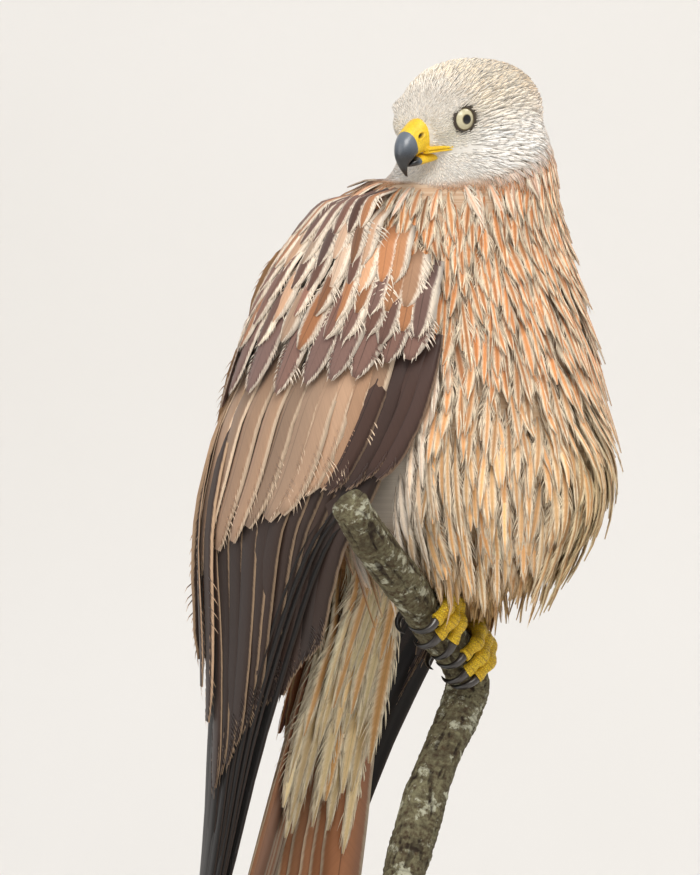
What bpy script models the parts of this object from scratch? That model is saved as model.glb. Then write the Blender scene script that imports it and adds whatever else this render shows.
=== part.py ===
"""A red kite standing on a cut length of branch, held by a plain display stand.

The bird's breast faces -Y, its back +Y, and its head is turned to its own right, -X. Sizes are in
millimetres, in a frame whose origin is on the floor under the middle of the base, and solid()
turns them into Blender's metres.
"""

import bisect
import math
import random

import bmesh
import bpy
import numpy as np
from mathutils import Matrix

MM = 0.001
GAP = 0.35  # clear space between pieces that meet
# Each body's own draw of small differences between its feathers
SEEDS = {"torso": 13, "wing_right": 11, "wing_left": 1, "tail": 3, "thigh_left": 4, "thigh_right": 4}

# Base and rod
BASE_RADIUS = 150.0
BASE_HEIGHT = 18.0
BASE_EDGE = 3.0
ROD_RADIUS = 6.0
ROD_FOOT_RADIUS = 20.0
ROD_FOOT_HEIGHT = 6.0

# The bird stands this far in front of the base's middle, which centres its tail and breast on it
BIRD_Y = -25.0

# Trunk from belly to neck: height, y of its widest line, half width, depth forward, depth back
TRUNK = (
    (370, -2, 10, 14, 14),
    (376, -4, 34, 62, 56),
    (392, -8, 54, 92, 86),
    (421, -12, 69, 100, 104),
    (455, -14, 76, 88, 108),
    (496, -16, 75, 77, 102),
    (530, -20, 69, 63, 92),
    (560, -25, 60, 50, 84),
    (583, -29, 50, 44, 68),
    (600, -31, 46, 44, 54),
    (616, -31, 42, 41, 47),
    (632, -29, 35, 35, 38),
    (643, -28, 16, 16, 16),
)
TRUNK_SIDES = 24
TRUNK_RINGS = 16
ENVELOPE_FOOT = 338.0
ROOM_RINGS = 20
HANG_HEIGHT = 402.0  # below this the belly's long feathers hang straight down
NECK_CUT_HEIGHT = 582.0

# Head, in its own frame: its place, how far it is turned from -Y towards -X, and how far it nods
HEAD_PLACE = (-16.0, -27.0, 628.0)
HEAD_TURN = 80.0
HEAD_NOD = 14.0
# Distance forward, height of its widest line, half width, height above that line, depth below it
HEAD = (
    (-59, -4, 6, 6, 6),
    (-55, -4, 20, 20, 18),
    (-43, -3, 32.5, 28.5, 29),
    (-26, -1, 36, 32, 33),
    (-8, 0, 35.5, 33.5, 34),
    (8, 0, 33, 32.5, 32),
    (20, -1, 28.5, 28, 27),
    (30, -2, 21.5, 21, 20),
    (38, -3, 13.5, 14, 14),
    (43, -3, 8, 8.5, 9),
    (45, -3, 3, 3, 3),
)
HEAD_SIDES = 22
HEAD_RINGS = 11
EYE_PLACE = (20.5, 17.8, 4.8)
EYE_RADIUS = 8.2
LID_RING_RADIUS = 6.7
LID_THICKNESS = 1.3

# Wing surface at each height: front edge, side, back corner and inner edge, as x and y pairs
WING = (
    (75, (-45, 162), (-45, 168), (-38, 173), (-28, 176)),
    (150, (-55, 126), (-60, 141), (-50, 156), (-30, 159)),
    (220, (-64, 92), (-70, 115), (-57, 139), (-30, 147)),
    (300, (-78, 46), (-85, 84), (-66, 127), (-22, 131)),
    (386, (-87, 6), (-99, 46), (-78, 117), (-13, 120)),
    (420, (-82, -24), (-98, 26), (-80, 108), (-11, 114)),
    (467, (-77, -50), (-96, 6), (-79, 93), (-11, 104)),
    (530, (-67, -58), (-85, -16), (-72, 66), (-16, 80)),
    (580, (-50, -52), (-64, -14), (-49, 38), (-19, 50)),
    (598, (-38, -46), (-47, -20), (-36, 14), (-17, 24)),
)
# The left wing is folded closer: at each height its front edge lies this far behind and inside the right one's
CLOSER_FOLD = ((75, 8, 0), (150, 24, 2), (220, 36, 8), (300, 40, 14), (386, 34, 5), (420, 22, 2), (530, 14, 2), (598, 7, 2))
WING_TOP = 594.0
WING_FOOT_FRONT = 436.0  # lowest height of the fleshy wing at its front edge
WING_FOOT_BACK = 384.0
WING_CLEARANCE = 1.2  # from the trunk, whose facets differ from the wing's inner face
WING_ACROSS = 9
WING_RINGS = 7

# Outlines of a vane as share of its length and share of its half width
SMALL_VANE = ((0, 0.7), (0.66, 1), (1, 0.22))
BROAD_VANE = ((0, 0.6), (0.72, 1), (1, 0.25))
LONG_VANE = ((0, 0.4), (0.42, 1), (0.86, 0.84), (1, 0.14))
LANCE_VANE = ((0, 0.7), (0.55, 1), (1, 0.08))

# Wing tiers, deepest first. First and last feather of each: root and tip as place across the wing and height
WING_TIERS = (
    dict(name="primaries", count=7, root=((0.08, 412), (0.44, 412)), tip=((0.30, 168), (0.80, 76)), half=12,
         lift=(-9.0, -2.4), slope=0.0, deep=-10.0, outline=LONG_VANE, facing=(-0.86, 0.5, 0.1)),
    dict(name="secondaries", count=8, root=((0.08, 462), (0.66, 462)), tip=((-0.06, 318), (0.44, 240)), half=13,
         lift=(-3.4, -1.2), slope=0.15, deep=-7.0, outline=LONG_VANE),
    dict(name="tertials", count=4, root=((0.68, 515), (0.93, 525)), tip=((0.58, 290), (0.86, 346)), half=15,
         lift=(1.8, 4.6), slope=0.1, deep=-6.0, outline=LONG_VANE),
    dict(name="alula", count=3, root=((0.02, 502), (0.13, 506)), tip=((0.04, 430), (0.15, 416)), half=10,
         lift=(-0.6, 0.6), slope=0.15, deep=-6.0, outline=BROAD_VANE),
    dict(name="greater coverts", count=8, root=((0.17, 508), (0.72, 510)), tip=((0.17, 425), (0.74, 362)), half=12.5,
         lift=(-0.2, 1.0), slope=0.13, deep=-6.0, outline=BROAD_VANE),
    dict(name="median coverts", count=7, root=((0.06, 546), (0.76, 546)), tip=((0.06, 488), (0.76, 462)), half=12.0,
         lift=(3.0, 3.6), slope=0.06, deep=-5.0, outline=SMALL_VANE),
    dict(name="lesser coverts", count=6, root=((0.10, 580), (0.68, 578)), tip=((0.08, 528), (0.70, 518)), half=11.5,
         lift=(5.4, 5.8), slope=0.04, deep=-5.0, outline=SMALL_VANE),
    dict(name="scapulars", count=4, root=((0.74, 572), (0.95, 566)), tip=((0.80, 470), (0.95, 440)), half=13,
         lift=(6.0, 8.0), slope=0.08, deep=-5.0, outline=BROAD_VANE),
)
VANE_THICKNESS = 0.75

# Tail
TAIL_ROOT = (0.0, 79.0, 370.0)
TAIL_LEAN = 17.5  # degrees that it slopes back from hanging straight down
TAIL_PAIRS = 6
TAIL_MIDDLE_LENGTH = 272.0
TAIL_OUTER_LENGTH = 338.0
TAIL_HALF_WIDTH_TIPS = 63.0
TAIL_HALF_WIDTH_ROOT = 26.0
TAIL_ARCH = 15.0  # how far the outer feathers bend forward of the middle pair

# Branch: centre line and radius, from the cut end by the bird's right to the cut end on the rod
BRANCH = (
    (-125, -52, 406, 11.5), (-93, -40, 383, 11.8), (-61, -28, 363.5, 12.0), (-32, -16, 347, 12.3),
    (-8, -9, 332, 12.6), (14, -4, 316, 13.0), (20, -2, 301, 13.0), (12, -3, 284, 12.2), (-1, -4, 264, 12.2),
    (-16, -4, 238, 12.6), (-27, -4, 212, 13.0), (-34, -4, 192, 13.2), (-37, -4, 176, 13.4),
)
BRANCH_SIDES = 13
BRANCH_RINGS = 24

# Feet: where along the branch's list each one grips, and where its leg leaves the belly
FEET = {
    "right": dict(grip=3.3, hip=(-28, 2, 428)),
    "left": dict(grip=4.72, hip=(28, 4, 422)),
}
THIGH_RADIUS = 27.0
CUFF_RADIUS = 11.5
FRINGE_ROOM = 4.2
TOE_RADIUS = 4.3
CLAW_RADIUS = 2.5
CLAW_LENGTH = 19.0
# Each toe: sideways step along the branch at its root and end, first and last angle round it
TOES = (
    (-3.0, -13.0, 18, 118),
    (0.0, 0.0, 20, 132),
    (3.0, 13.0, 18, 118),
    (0.0, 3.0, -14, -78),
)
TOE_RINGS = 7

# Share of triangles kept once a body's pieces are fused
LIGHTER = {"wing": 0.52, "torso": 0.6, "tail": 0.52, "thigh": 0.75}

COLOURS = {
    "pale_feather": (0.72, 0.66, 0.60, 0.85),
    "rufous_feather": (0.52, 0.27, 0.12, 0.85),
    "brown_feather": (0.22, 0.13, 0.09, 0.80),
    "tail_feather": (0.46, 0.24, 0.12, 0.75),
    "eye": (0.62, 0.58, 0.40, 0.10),
    "cere": (0.80, 0.56, 0.04, 0.45),
    "horn": (0.05, 0.05, 0.06, 0.30),
    "bark": (0.20, 0.19, 0.12, 0.90),
    "steel": (0.60, 0.60, 0.60, 0.30),
    "dark_wood": (0.09, 0.05, 0.03, 0.50),
}


def clear_scene():
    for old in list(bpy.data.objects):
        bpy.data.objects.remove(old)


def collection_named(name):
    made = bpy.data.collections.new(name)
    bpy.context.scene.collection.children.link(made)
    return made


def material_named(name):
    found = bpy.data.materials.get(name)
    if found:
        return found
    red, green, blue, roughness = COLOURS[name]
    made = bpy.data.materials.new(name)
    made.use_nodes = True
    shader = made.node_tree.nodes["Principled BSDF"]
    shader.inputs["Base Color"].default_value = (red, green, blue, 1)
    shader.inputs["Roughness"].default_value = roughness
    shader.inputs["Metallic"].default_value = 1.0 if name == "steel" else 0.0
    return made


def solid(name, points, faces, material, collection):
    """A mesh object from points in millimetres."""
    mesh = bpy.data.meshes.new(name)
    mesh.from_pydata([[c * MM for c in p] for p in points], [], faces)
    shape = bmesh.new()
    shape.from_mesh(mesh)
    bmesh.ops.recalc_face_normals(shape, faces=shape.faces)
    shape.to_mesh(mesh)
    shape.free()
    mesh.materials.append(material_named(material))
    made = bpy.data.objects.new(name, mesh)
    collection.objects.link(made)
    return made


def evaluated_mesh(obj):
    return bpy.data.meshes.new_from_object(obj.evaluated_get(bpy.context.evaluated_depsgraph_get()))


def boolean(target, others, operation):
    """Joins or cuts target with closed meshes, which are then removed. A body takes dozens of feathers at
    once, which the manifold solver joins in a moment and the exact one in minutes."""
    working = collection_named("working")
    for other in others:
        for holder in list(other.users_collection):
            holder.objects.unlink(other)
        working.objects.link(other)
    step = target.modifiers.new("boolean", "BOOLEAN")
    step.operation = operation
    step.operand_type = "COLLECTION"
    step.collection = working
    step.solver = "MANIFOLD"
    mesh = evaluated_mesh(target)
    target.modifiers.clear()
    target.data = mesh
    for other in others:
        bpy.data.objects.remove(other)
    bpy.data.collections.remove(working)
    return target


def keep_largest(obj):
    """Drops every closed surface but the largest."""
    shape = bmesh.new()
    shape.from_mesh(obj.data)
    left = set(shape.faces)
    groups = []
    while left:
        first = left.pop()
        group, edge_of_search = [first], [first]
        while edge_of_search:
            face = edge_of_search.pop()
            for edge in face.edges:
                for other in edge.link_faces:
                    if other in left:
                        left.remove(other)
                        group.append(other)
                        edge_of_search.append(other)
        groups.append(group)

    def volume(group):
        total = 0.0
        for face in group:
            corners = [v.co for v in face.verts]
            for second, third in zip(corners[1:], corners[2:]):
                total += corners[0].dot(second.cross(third)) / 6
        return total

    largest = max(groups, key=volume)
    keep = set(largest)
    bmesh.ops.delete(shape, geom=[f for f in shape.faces if f not in keep], context="FACES")
    shape.to_mesh(obj.data)
    shape.free()
    return obj


def lighten(obj, share):
    """Merges the small triangles along the seams of a fused body."""
    step = obj.modifiers.new("lighten", "DECIMATE")
    step.ratio = share
    step.use_collapse_triangulate = True
    mesh = evaluated_mesh(obj)
    obj.modifiers.clear()
    obj.data = mesh
    return obj


def row_at(rows, key):
    """A smooth reading of a table at a value of its first column."""
    keys = [row[0] for row in rows]
    values = [np.array(row[1:], float) for row in rows]
    key = min(max(key, keys[0]), keys[-1])
    i = min(max(bisect.bisect_right(keys, key) - 1, 0), len(rows) - 2)
    span = keys[i + 1] - keys[i]
    share = (key - keys[i]) / span

    def slope(k):
        low, high = max(k - 1, 0), min(k + 1, len(rows) - 1)
        return (values[high] - values[low]) / (keys[high] - keys[low])

    a, b = share * share * (3 - 2 * share), share * share * share
    start = share - 2 * share * share + b
    end = b - share * share
    return values[i] * (1 - a) + values[i + 1] * a + slope(i) * span * start + slope(i + 1) * span * end


def smooth_step(low, high, value):
    share = min(max((value - low) / (high - low), 0.0), 1.0)
    return share * share * (3 - 2 * share)


def unit(vector):
    vector = np.asarray(vector, float)
    return vector / max(np.linalg.norm(vector), 1e-9)


def lofted(name, rings, material, collection, crescent=False):
    """A closed solid through rings of equal count. Each end has a point at its middle, or strips across
    where the rings are crescents, whose middle lies outside them."""
    count = len(rings[0])
    points = [p for ring in rings for p in ring]
    faces = []
    for i in range(len(rings) - 1):
        for j in range(count):
            k = (j + 1) % count
            faces.append((i * count + j, i * count + k, (i + 1) * count + k, (i + 1) * count + j))
    tail = (len(rings) - 1) * count
    if crescent:
        for j in range(count // 2 - 1):
            strip = (j, j + 1, count - 2 - j, count - 1 - j)
            faces.append(strip[::-1])
            faces.append(tuple(tail + corner for corner in strip))
    else:
        first, last = len(points), len(points) + 1
        points += [np.mean(rings[0], axis=0), np.mean(rings[-1], axis=0)]
        for j in range(count):
            k = (j + 1) % count
            faces.append((first, k, j))
            faces.append((last, tail + j, tail + k))
    return solid(name, points, faces, material, collection)


def spread(first, last, count):
    return [first + (last - first) * i / (count - 1) for i in range(count)]


def trunk_point(angle, height, grow=0.0):
    """A point on the trunk. angle is 0 in front and runs to the bird's right."""
    middle, half, front, back = row_at(TRUNK, height)
    depth = (front if math.cos(angle) > 0 else back) + grow
    return np.array([-(half + grow) * math.sin(angle), middle - depth * math.cos(angle), height])


def coat_point(angle, height):
    """A point on the trunk, or below the belly's turn one that hangs straight down from it."""
    point = trunk_point(angle, max(height, HANG_HEIGHT))
    point[2] = height
    return point


def surface_normal(point_at, a, b, step_a, step_b):
    across = point_at(a + step_a, b) - point_at(a - step_a, b)
    along = point_at(a, b + step_b) - point_at(a, b - step_b)
    return unit(np.cross(across, along))


def coat_surface(angle, height):
    normal = surface_normal(coat_point, angle, height, 0.02, 1.0)
    point = coat_point(angle, height)
    outward = point - np.array([0, row_at(TRUNK, height)[0], height])
    return point, normal if normal @ outward > 0 else -normal


def trunk_solid(name, grow, collection):
    """The trunk, or a swollen copy that cuts its neighbours clear of it."""
    rings = []
    for height in spread(TRUNK[0][0], TRUNK[-1][0], TRUNK_RINGS):
        stretched = height + grow * (2 * smooth_step(TRUNK[0][0], TRUNK[-1][0], height) - 1)
        ring = []
        for j in range(TRUNK_SIDES):
            point = trunk_point(2 * math.pi * j / TRUNK_SIDES, height, grow)
            point[2] = stretched
            ring.append(point)
        rings.append(ring)
    return lofted(name, rings, "rufous_feather", collection)


def wing_edge_angle(height):
    """The trunk's angle where the wing's front edge lies, at a height."""
    front_edge = wing_row(height)[0]
    middle, half, front, _ = row_at(TRUNK, height)
    return math.atan2(-front_edge[0] / half, (middle - front_edge[1]) / front)


def wing_room(name, collection):
    """What the wings are cut clear of: the trunk, and the room of the feathers over its breast and back."""
    rings = []
    for height in spread(ENVELOPE_FOOT, TRUNK[-1][0], ROOM_RINGS):
        edge = wing_edge_angle(height)
        ring = []
        for j in range(36):
            angle = 2 * math.pi * j / 36
            turned = abs(math.pi - abs(math.pi - angle))
            breast = 24 * smooth_step(edge - math.radians(2), edge - math.radians(14), turned)
            mantle = 7 * smooth_step(math.radians(160), math.radians(170), turned)
            point = trunk_point(angle, max(height, HANG_HEIGHT), WING_CLEARANCE + breast + mantle)
            point[2] = height
            ring.append(point)
        rings.append(ring)
    return lofted(name, rings, "rufous_feather", collection)


def head_axes():
    turn, nod = math.radians(HEAD_TURN), math.radians(HEAD_NOD)
    level = np.array([-math.sin(turn), -math.cos(turn), 0.0])
    up = np.array([0.0, 0.0, 1.0])
    forward = level * math.cos(nod) - up * math.sin(nod)
    upward = level * math.sin(nod) + up * math.cos(nod)
    return forward, np.cross(upward, forward), upward


def from_head(forward, left, upward):
    """A point given in the head's frame."""
    f, l, u = head_axes()
    return np.array(HEAD_PLACE) + f * forward + l * left + u * upward


def head_ring(forward, grow=0.0):
    line, half, above, below = row_at(HEAD, forward)
    ring = []
    for j in range(HEAD_SIDES):
        angle = 2 * math.pi * j / HEAD_SIDES
        rise = (above if math.cos(angle) > 0 else below) + grow
        turned = math.degrees(abs(math.pi - abs(math.pi - angle)))
        near_eye = math.exp(-(((forward - 23) / 10) ** 2))
        hollow = 0.17 * near_eye * math.exp(-(((turned - 84) / 24) ** 2))
        brow = 0.07 * near_eye * math.exp(-(((turned - 50) / 14) ** 2))
        across = (half + grow) * math.sin(angle) * (1 - hollow + brow)
        ring.append(from_head(forward, across, line + rise * math.cos(angle)))
    return ring


def skull_solid(name, grow, collection):
    rings = [head_ring(forward, grow) for forward in spread(HEAD[0][0] - grow, HEAD[-1][0] + grow, HEAD_RINGS)]
    return lofted(name, rings, "pale_feather", collection)


def placed(name, centre, axes, stretch, material, collection):
    """Moves the primitive just added to its place: stretched along three axes about its centre."""
    made = bpy.context.object
    made.name = made.data.name = name
    columns = [np.array(axis) * share for axis, share in zip(axes, stretch)]
    matrix = Matrix([[*(column[i] for column in columns), centre[i] * MM] for i in range(3)] + [[0, 0, 0, 1]])
    made.data.transform(matrix)
    if matrix.determinant() < 0:
        made.data.flip_normals()
    made.data.materials.append(material_named(material))
    for holder in list(made.users_collection):
        holder.objects.unlink(made)
    collection.objects.link(made)
    return made


def ball(name, centre, radius, material, collection, segments=16, rings=10, stretch=(1, 1, 1), axes=None):
    """A sphere, or an ellipsoid stretched along the given axes."""
    bpy.ops.mesh.primitive_uv_sphere_add(segments=segments, ring_count=rings, radius=radius * MM)
    return placed(name, centre, axes or ((1, 0, 0), (0, 1, 0), (0, 0, 1)), stretch, material, collection)


def ring_tube(name, centre, normal, ring_radius, tube_radius, material, collection, squash=1.0, up=(0, 0, 1)):
    """A closed ring of round section, such as an eyelid's rim."""
    side = unit(np.cross(up, normal))
    bpy.ops.mesh.primitive_torus_add(major_segments=16, minor_segments=5, major_radius=ring_radius * MM,
                                     minor_radius=tube_radius * MM)
    return placed(name, centre, (side, np.cross(normal, side), normal), (1, squash, 1), material, collection)


def slab_keeper(name, origin, normal, collection):
    """A large box on the side of a plane that normal points to, to keep that side by intersection."""
    normal = unit(normal)
    side = unit(np.cross(normal, (0.3, 1.0, 0.2)))
    size = 1400.0
    bpy.ops.mesh.primitive_cube_add(size=size * MM)
    return placed(name, np.array(origin) + normal * size / 2, (side, np.cross(normal, side), normal), (1, 1, 1),
                  "rufous_feather", collection)


def copy_of(obj, name, collection):
    made = bpy.data.objects.new(name, obj.data.copy())
    collection.objects.link(made)
    return made


def side_points(origin_pairs, half, bottom_flat=1.0, sides=10, grow=0.0):
    """A bill section between an upper and a lower point of the head's middle plane."""
    (top_f, top_u), (low_f, low_u) = origin_pairs
    ring = []
    for j in range(sides):
        angle = 2 * math.pi * j / sides
        rise = math.cos(angle)
        across = math.sin(angle)
        if rise < 0:
            rise = -abs(rise) ** bottom_flat
        share = (rise + 1) / 2
        length = math.hypot(top_f - low_f, top_u - low_u)
        over_f, over_u = (top_f - low_f) / length * grow * rise, (top_u - low_u) / length * grow * rise
        ring.append(from_head(low_f + (top_f - low_f) * share + over_f, across * (half + grow),
                              low_u + (top_u - low_u) * share + over_u))
    return ring


CERE_SECTIONS = (
    (((33, 10), (33, -10.6)), 11.5),
    (((40, 8.6), (38.5, -10.6)), 10.2),
    (((46, 6.6), (44.5, -10.8)), 8.8),
    (((51.2, 4.2), (49, -11.4)), 7.4),
)
UPPER_BILL_SECTIONS = (
    (((51.8, 3.7), (49.5, -11.5)), 7.2),
    (((56.2, 0.2), (52.0, -12.8)), 6.1),
    (((59.2, -5.0), (54.6, -14.4)), 4.7),
    (((59.9, -10.0), (55.6, -16.0)), 3.2),
    (((58.4, -15.5), (55.3, -18.6)), 1.9),
    (((55.6, -20.6), (54.4, -21.4)), 0.6),
)
LOWER_BILL_SECTIONS = (
    (((31, -11.4), (31, -18.0)), 10.0),
    (((38, -11.3), (38, -18.4)), 8.8),
    (((45, -11.8), (44.5, -18.0)), 6.6),
    (((50.5, -13.4), (49.5, -17.2)), 4.4),
    (((53.0, -15.4), (52.4, -16.6)), 1.6),
)
GAPE_LINE = ((43, 8.4, -9.4), (36, 12.2, -10.0), (27, 16.9, -11.2), (20, 20.6, -12.2), (14, 23.2, -13.0))
GAPE_HEIGHTS = (3.0, 2.8, 2.4, 1.9, 1.3)


def bill_piece(name, sections, material, collection, grow=0.0):
    rings = [side_points(pair, half, 0.6, 10, grow) for pair, half in sections]
    return lofted(name, rings, material, collection)


def gape_strip(name, side, below, material, collection, grow=0.0):
    """The bare yellow lip along the mouth, above or below its line."""
    rings = []
    for (forward, left, upward), height in zip(GAPE_LINE, GAPE_HEIGHTS):
        middle = upward + (-height / 2 - 0.25 if below else height / 2 + 0.25)
        depth = 2.6 + grow
        rise = height / 2 + grow
        rings.append([from_head(forward, side * (left - 0.8 + depth * math.cos(a)), middle + rise * math.sin(a))
                      for a in (2 * math.pi * k / 6 for k in range(6))])
    return lofted(name, rings, material, collection)


def build_bill(parts, head):
    """Cere with nostrils and lips, horn of the upper bill, and lower bill. Cuts their room in the head."""
    cutters = [bill_piece("room", CERE_SECTIONS, "cere", parts, GAP), bill_piece("room", LOWER_BILL_SECTIONS, "cere", parts, GAP)]
    for side in (-1, 1):
        for below in (False, True):
            cutters.append(gape_strip("room", side, below, "cere", parts, GAP))
    boolean(head, cutters, "DIFFERENCE")

    cere = bill_piece("cere", CERE_SECTIONS, "cere", parts)
    boolean(cere, [gape_strip("lip", side, False, "cere", parts) for side in (-1, 1)], "UNION")
    nostrils = []
    for side in (-1, 1):
        axes = (unit(from_head(1, 0, -0.25) - from_head(0, 0, 0)), unit(from_head(0, 0, 1) - from_head(0, 0, 0)),
                unit(from_head(0, 1, 0) - from_head(0, 0, 0)))
        nostrils.append(ball("nostril", from_head(45.6, side * 9.2, 0.4), 1.0, "cere", parts, 10, 6,
                             (2.3, 1.25, 2.2), axes))
    boolean(cere, nostrils, "DIFFERENCE")

    lower = bill_piece("bill_lower", LOWER_BILL_SECTIONS, "cere", parts)
    boolean(lower, [gape_strip("lip", side, True, "cere", parts) for side in (-1, 1)], "UNION")
    boolean(lower, [bill_piece("room", CERE_SECTIONS, "cere", parts, GAP),
                    bill_piece("room", UPPER_BILL_SECTIONS, "cere", parts, GAP)], "DIFFERENCE")
    upper = bill_piece("bill_upper", UPPER_BILL_SECTIONS, "horn", parts)
    boolean(upper, [slab_keeper("front", from_head(50.4 + GAP, 0, 0),
                                from_head(1, 0, -0.16) - from_head(0, 0, 0), parts)], "INTERSECT")
    boolean(cere, [slab_keeper("rear", from_head(50.4, 0, 0),
                               from_head(-1, 0, 0.16) - from_head(0, 0, 0), parts)], "INTERSECT")
    for piece in (cere, lower, upper):
        keep_largest(piece)


def build_flesh(parts):
    """Head, neck and torso as one form, parted by thin cuts. Returns the three objects."""
    whole = trunk_solid("torso", 0.0, parts)
    boolean(whole, [skull_solid("skull", 0.0, parts)], "UNION")

    chin = from_head(16, 0, -33)
    nape = from_head(-58, 0, -10)
    _, left, _ = head_axes()
    head_up = unit(np.cross(chin - nape, left))
    if head_up[2] < 0:
        head_up = -head_up
    neck = copy_of(whole, "neck", parts)
    boolean(neck, [slab_keeper("above", (0, 0, NECK_CUT_HEIGHT + GAP), (0, 0, 1), parts)], "INTERSECT")
    boolean(whole, [slab_keeper("below", (0, 0, NECK_CUT_HEIGHT), (0, 0, -1), parts)], "INTERSECT")
    head = copy_of(neck, "head", parts)
    boolean(head, [slab_keeper("above", chin + head_up * GAP, head_up, parts)], "INTERSECT")
    boolean(neck, [slab_keeper("below", chin, -head_up, parts)], "INTERSECT")
    for piece, material in ((head, "pale_feather"), (neck, "rufous_feather"), (whole, "rufous_feather")):
        keep_largest(piece)
        piece.data.materials.clear()
        piece.data.materials.append(material_named(material))
    return head, neck, whole


def build_head_details(parts, head):
    """Eyes, lids and brows."""
    forward, left, upward = head_axes()
    for name, side in (("left", 1), ("right", -1)):
        f, l, u = EYE_PLACE
        centre = from_head(f, side * l, u)
        gaze = unit(left * side * 0.93 + forward * 0.35)
        rim = centre + gaze * 5.3
        lid = ring_tube("lid", rim, gaze, LID_RING_RADIUS, LID_THICKNESS, "pale_feather", parts, 0.93, upward)
        brow_axes = (unit(forward - 0.12 * upward), unit(left * side), unit(upward + 0.12 * forward))
        brow = ball("brow", from_head(f + 1.0, side * 21.0, u + 9.2), 1.0, "pale_feather", parts, 10, 7,
                    (15.0, 6.2, 3.4), brow_axes)
        boolean(head, [lid, brow], "UNION")
        boolean(head, [ball("socket", centre, EYE_RADIUS + GAP, "eye", parts, 14, 9)], "DIFFERENCE")
        ball("eye_" + name, centre, EYE_RADIUS, "eye", parts, 14, 9)
    keep_largest(head)


def vane(surface, root, tip, half, lift, outline, slope, deep, thickness=VANE_THICKNESS, facing=None):
    """A thin plate laid along a surface from root to tip. Its root lies deep in the flesh and its end at
    lift above it. slope raises one edge over the next vane. Both faces are split alike."""
    rows = []
    for share, width in outline:
        a = root[0] + (tip[0] - root[0]) * share
        b = root[1] + (tip[1] - root[1]) * share
        point, normal = surface(a, b)
        if facing is not None:
            normal = unit(facing)
        raised = deep + (lift - deep) * smooth_step(0.0, 0.42, share)
        rows.append((point + normal * raised, normal, half * width, share))
    points = []
    for i, (centre, normal, width, share) in enumerate(rows):
        before, after = rows[max(i - 1, 0)][0], rows[min(i + 1, len(rows) - 1)][0]
        along = unit(after - before)
        side = unit(np.cross(along, normal))
        up = np.cross(side, along)
        thin = thickness * (1 - 0.45 * smooth_step(0.6, 1.0, share))
        for edge, face in ((-1, 1), (1, 1), (1, -1), (-1, -1)):
            points.append(centre + side * edge * width + up * (face * thin / 2 - edge * slope * width))
    faces = [(0, 3, 2), (0, 2, 1)]
    for i in range(len(rows) - 1):
        a, b = 4 * i, 4 * i + 4
        faces += [(a, a + 1, b + 1), (a, b + 1, b), (a + 3, b + 2, a + 2), (a + 3, b + 3, b + 2)]
        faces += [(a + 1, a + 2, b + 2), (a + 1, b + 2, b + 1), (a, b, b + 3), (a, b + 3, a + 3)]
    end = 4 * (len(rows) - 1)
    faces += [(end, end + 1, end + 2), (end, end + 2, end + 3)]
    return points, faces


def wing_row(height):
    flat = [(row[0], *row[1], *row[2], *row[3], *row[4]) for row in WING]
    return row_at(flat, height).reshape(4, 2)


def wing_point(side_name, across, height):
    """A point on a wing's outer surface, as a right wing. across is 0 at its front edge and 1 at its inner edge."""
    corners = wing_row(height)
    rows = [(i / 3, *corner) for i, corner in enumerate(corners)]
    x, y = row_at(rows, across)
    if across > 1:
        x, y = np.array(corners[3]) + (np.array(corners[3]) - corners[2]) * (across - 1) * 0.6
    if across < 0:
        x, y = np.array(corners[0]) + (np.array(corners[0]) - corners[1]) * (-across) * 2.0
    if side_name == "left":
        behind, inside = row_at(CLOSER_FOLD, height) * (1 - min(max(across, 0.0), 1.0))
        x, y = x + inside, y + behind
    return np.array([x, y, height])


def wing_surface(side_name, across, height):
    def point_at(a, b):
        return wing_point(side_name, a, b)

    normal = surface_normal(point_at, across, height, 0.01, 2.0)
    point = point_at(across, height)
    outward = point - np.array([0, 20.0, height])
    return point, normal if normal @ outward > 0 else -normal


def wing_flesh(name, side_name, collection):
    """The fleshy wing, between the wing's surface and the trunk, thinning to a blade at its foot."""
    rings = []
    for i in range(WING_RINGS):
        level = i / (WING_RINGS - 1)
        outer, inner = [], []
        for j in range(WING_ACROSS):
            across = j / (WING_ACROSS - 1)
            foot = WING_FOOT_FRONT + (WING_FOOT_BACK - WING_FOOT_FRONT) * smooth_step(0.0, 0.8, across)
            height = foot + (WING_TOP - foot) * level
            point = wing_point(side_name, across, height)
            toward = np.array([0.0, row_at(TRUNK, height)[0], height]) - point
            distance = np.linalg.norm(toward)
            inset = 2.5 + 5.0 * (1 - smooth_step(0.0, 0.5, level))
            depth = inset + 5 + 20 * smooth_step(0.0, 0.45, level)
            outer.append(point + toward * min(inset / distance, 0.3))
            inner.append(point + toward * min(depth / distance, 0.8))
        rings.append(outer + inner[::-1])
    return lofted(name, rings, "brown_feather", collection, crescent=True)


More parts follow.
